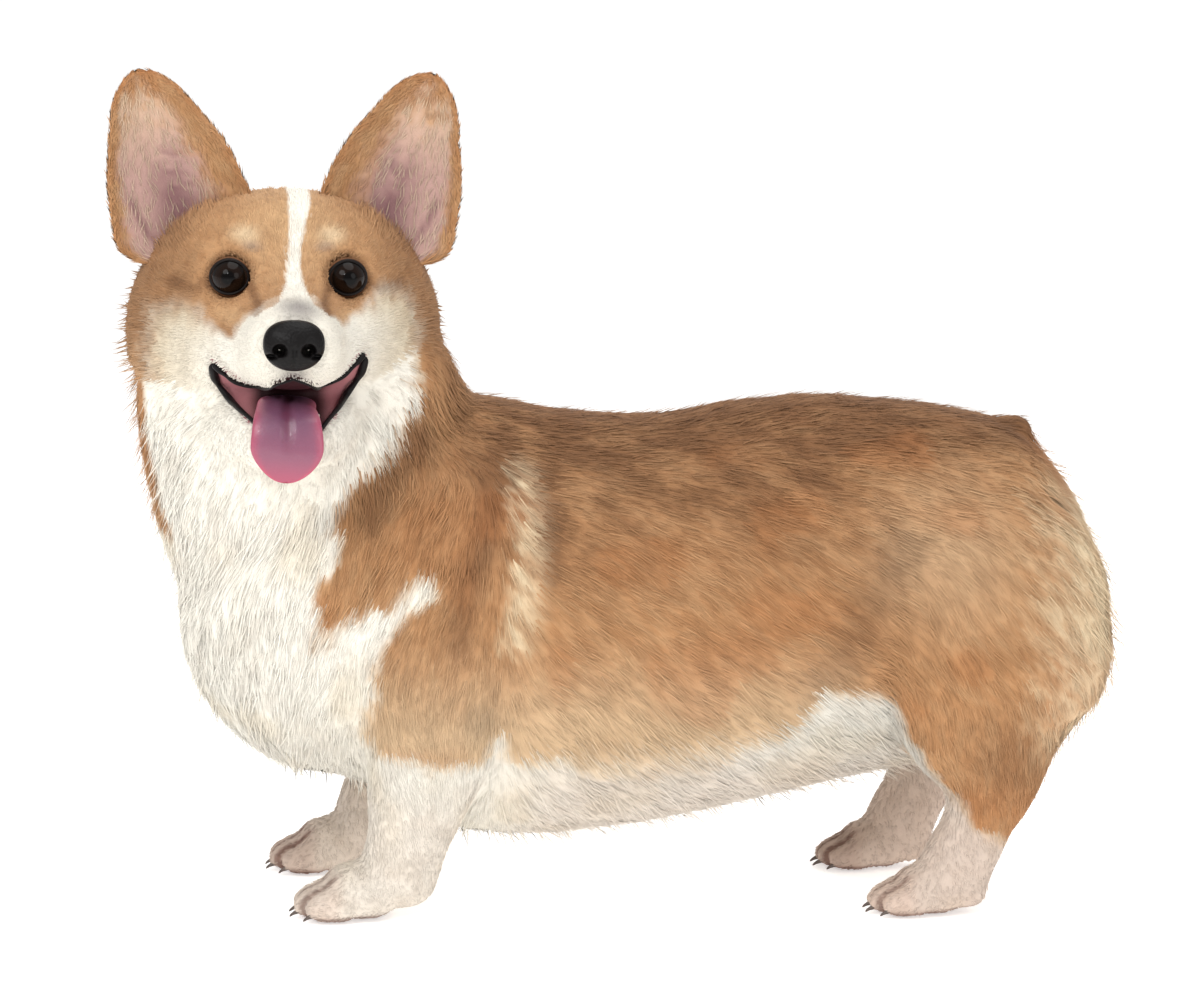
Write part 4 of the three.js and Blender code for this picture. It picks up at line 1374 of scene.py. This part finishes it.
def lid_piece(side, name):
    """Both lids of an eye as one closed ring of bare black skin about an almond opening."""
    ball, at, _, turn = globe(72, 56)
    row = np.degrees(np.arccos(np.clip(at[:, 2], -1, 1))) / 180
    # The opening's half angle in degrees: wide to the corners, with a higher upper lid.
    wide, high, low, squareness = 67.0, 56.0, 52.0, 1.8
    c, s = np.cos(turn), np.sin(turn)
    tall = np.where(s > 0, high, low)
    opening = 1 / ((np.abs(c) / wide) ** squareness + (np.abs(s) / tall) ** squareness) ** (1 / squareness)
    rows = [0, 0.2, 0.26, 0.34, 0.42, 0.52, 0.62, 0.75, 1.0]
    lift = [0.3, 0.75, 0.9, 0.9, 0.7]
    inner = EYE_RADIUS - 1.5
    radius = np.interp(row, rows, [inner, inner, *(EYE_RADIUS + k for k in lift), inner, inner])
    angle = np.interp(row, rows, [0, 0.999, 1.0, 1.04, 1.1, 1.2, 1.32, 1.5, 3.0]) * opening
    # The ring closes behind the ball, at its far pole.
    closing, pole = np.interp(row, [0.75, 1.0], [1, 0]), np.interp(row, [0.75, 1.0], [0, 180])
    angle = np.where(row >= 0.75, closing * angle + pole, angle)
    angle = np.radians(np.minimum(angle, 180))
    local = np.stack([np.sin(angle) * c, np.cos(angle), np.sin(angle) * s], -1) * radius[:, None]
    look = EYE_LOOK[side]
    right = unit(np.cross(look, UP))
    up = np.cross(right, look)
    spots = EYE_AT * [side, 1, 1] + local[:, :1] * right + local[:, 1:2] * look + local[:, 2:] * up
    moved(ball, head_to_body(spots))
    bmesh.ops.recalc_face_normals(ball, faces=ball.faces)
    hues = mix(rgb("#140e0c"), rgb("#6e4a32"), step(0.4, 0.5, row))
    finished(mesh_of(ball, name), name, hues, BARE_SKIN)


for side, word in ((1, "left"), (-1, "right")):
    eye_piece(side, f"eye_{word}")
    lid_piece(side, f"eyelids_{word}")

# Nose.


def nose_piece():
    """The nose pad, flat on top, with two comma-shaped nostrils and the groove between them."""
    rows = np.array(NOSE) - [0, 0, 0, 0.3, 0.3, 0.3]
    pad = form(rows, around=120, along=96, ends=0.4, fullness=(2.4, 2.1))
    at = np.array([v.co for v in pad.verts])
    front = step(-117, -125, at[:, 1])
    dent = np.zeros(len(at))
    for side in (-1, 1):
        hole = np.stack([(at[:, 0] - side * 8.0) / 4.9, (at[:, 2] + 33.6) / 4.5], -1)
        slit = np.stack([(at[:, 0] - side * 13.0) / 4.8, (at[:, 2] + 37.2) / 1.9], -1)
        dent = np.maximum(dent, 1 - step(0.1, 1.05, np.linalg.norm(hole, axis=1)))
        dent = np.maximum(dent, 0.6 * (1 - step(0.3, 1.1, np.linalg.norm(slit, axis=1))))
    groove = 1 - step(0.2, 2.0, np.abs(at[:, 0]))
    groove = groove * step(-30, -34, at[:, 2]) * front
    soft_front = np.maximum(front, step(0.3, 1, dent) * step(-112, -118, at[:, 1]))
    at[:, 1] += (9.0 * dent + 1.2 * groove) * soft_front
    # Painted shade darkens the nostrils and the groove between them.
    hues = mix(rgb("#0c0909"), rgb("#010000"), np.clip(1.6 * dent + 0.6 * groove, 0, 1))
    mesh = mesh_of(moved(pad, head_to_body(at)), "nose")
    finished(mesh, "nose", hues, NOSE_LEATHER, ["nose"])


nose_piece()

# Tongue, lips and teeth.


def tongue_piece():
    """The tongue over the lower lip: mauve with a groove down its middle, and pinker edges."""
    ball, _, t, turn = globe(96, 96)
    spots = on_form(TONGUE, t, turn, **TONGUE_SHAPE)
    ridge = np.cos(turn)
    upper = np.sin(turn) > 0
    middle = 1 - step(0, 0.16, np.abs(ridge))
    sink = 1.7 * middle * upper * step(0.1, 0.3, t) * step(0.86, 0.62, t)
    hollow = 1.0 * (1 - ridge**2) * upper * step(0.2, 0.5, t)
    below = on_form(TONGUE, t, -turn, **TONGUE_SHAPE)
    spots = spots + unit(below - spots) * (sink + hollow)[:, None] * (np.abs(np.sin(turn)) > 0.2)[:, None]
    moved(ball, head_to_body(spots))
    bmesh.ops.recalc_face_normals(ball, faces=ball.faces)
    edge = np.abs(ridge)
    hues = mix(rgb("#8a5066"), rgb("#754a62"), step(0.9, 0.6, t) * step(0.95, 0.3, edge))
    hues = mix(hues, rgb("#b04a64"), np.clip(0.6 * step(0.6, 0.97, edge) + 0.7 * step(0.84, 1.0, t), 0, 1))
    # Painted shade darkens the groove down the middle.
    hues = mix(hues, rgb("#64283f"), 0.6 * middle * step(0.9, 0.6, t))
    finished(mesh_of(ball, "tongue"), "tongue", hues, TONGUE_FLESH, ["tongue"])


def on_face(line):
    """Points (x, z) as seen from the head's front, dropped on the outside of the head."""
    found = []
    back = Vector(head_to_body(np.array([0.0, 1, 0])) - HEAD_AT)
    for x, z in line:
        hit = outer_tree.ray_cast(Vector(head_to_body(np.array([x, -220.0, z]))), back)[0]
        found.append(body_to_head(np.array(hit)))
    return np.array(found)


def lips():
    """The black edges of both lips, from the corners of the mouth to its middle."""
    for side, word in ((1, "left"), (-1, "right")):
        for row, name, radii in ((UPPER_LIP, "upper", (1.7, 0.6)), (LOWER_LIP, "lower", (2.4, 0.7))):
            line = on_face(lip_line(row, side))
            wide = np.linspace(*radii, len(line)) * (1 + 0.22 * np.sin(2.4 * np.arange(len(line))))
            rows = [(*p, r, r, r) for p, r in zip(line, wide)]
            lip = form(rows, 20, 80, head_to_body, rise=AHEAD + [0.3, 0, 0.2], ends=0.05)
            piece_name = f"{name}_lip_{word}"
            finished(mesh_of(lip, piece_name), piece_name, LIP_BLACK, BARE_SKIN)


def teeth():
    """The lower canines, as the open mouth shows them, and small cutting teeth between them."""
    shapes = []
    for side in (-1, 1):
        tooth = bmesh.new()
        bmesh.ops.create_cone(tooth, cap_ends=True, segments=24, radius1=2.3, radius2=0.5, depth=11)
        bmesh.ops.subdivide_edges(tooth, edges=tooth.edges, cuts=2)
        x, y, z = np.array([v.co for v in tooth.verts]).T
        lean = 0.0875 * np.maximum(0.0, z + 2) ** 1.3
        moved(tooth, head_to_body(np.stack([side * (15 + 0.1 * z) + x, -87 + y - lean, -79 + z], -1)))
        bmesh.ops.recalc_face_normals(tooth, faces=tooth.faces)
        shapes.append(tooth)
    for k in range(6):
        place = (k - 2.5) * 3.2
        tooth, at, _, _ = globe(16, 12)
        at = at * [1.4, 1.1, 3.0] + [place, -93 + 0.06 * place**2, -84.5]
        shapes.append(moved(tooth, head_to_body(at)))
    finished(gathered(shapes, "teeth"), "teeth", rgb("#efe6d2"), TOOTH_ENAMEL)


tongue_piece()
lips()
teeth()

# Claws.


def claws():
    """A short worn claw on each toe."""
    shapes = []
    for x, y, width, length, height in PAWS.values():
        for mid, tip in toe_tips(x, y, width, length):
            rows = [
                (mid, tip + 6.0, FLOOR + height * 0.17, 1.6, 1.5, 1.5),
                (mid, tip + 3.4, FLOOR + height * 0.14, 1.5, 1.3, 1.4),
                (mid, tip + 1.0, FLOOR + height * 0.1, 1.0, 0.8, 0.9),
                (mid, tip - 0.8, FLOOR + height * 0.05, 0.6, 0.5, 0.6),
            ]
            shapes.append(form(rows, around=16, along=18, ends=0.2))
    mesh = gathered(shapes, "claws")
    at = points_of(mesh)
    at[:, 2] = np.maximum(at[:, 2], FLOOR + 0.05)
    move_points(mesh, at)
    hues = mix(rgb("#51443e"), rgb("#85756b"), step(3, 8, at[:, 2] - FLOOR))
    finished(mesh, "claws", hues, CLAW_HORN)


claws()

for mesh in list(bpy.data.meshes):
    if mesh.users == 0:
        bpy.data.meshes.remove(mesh)
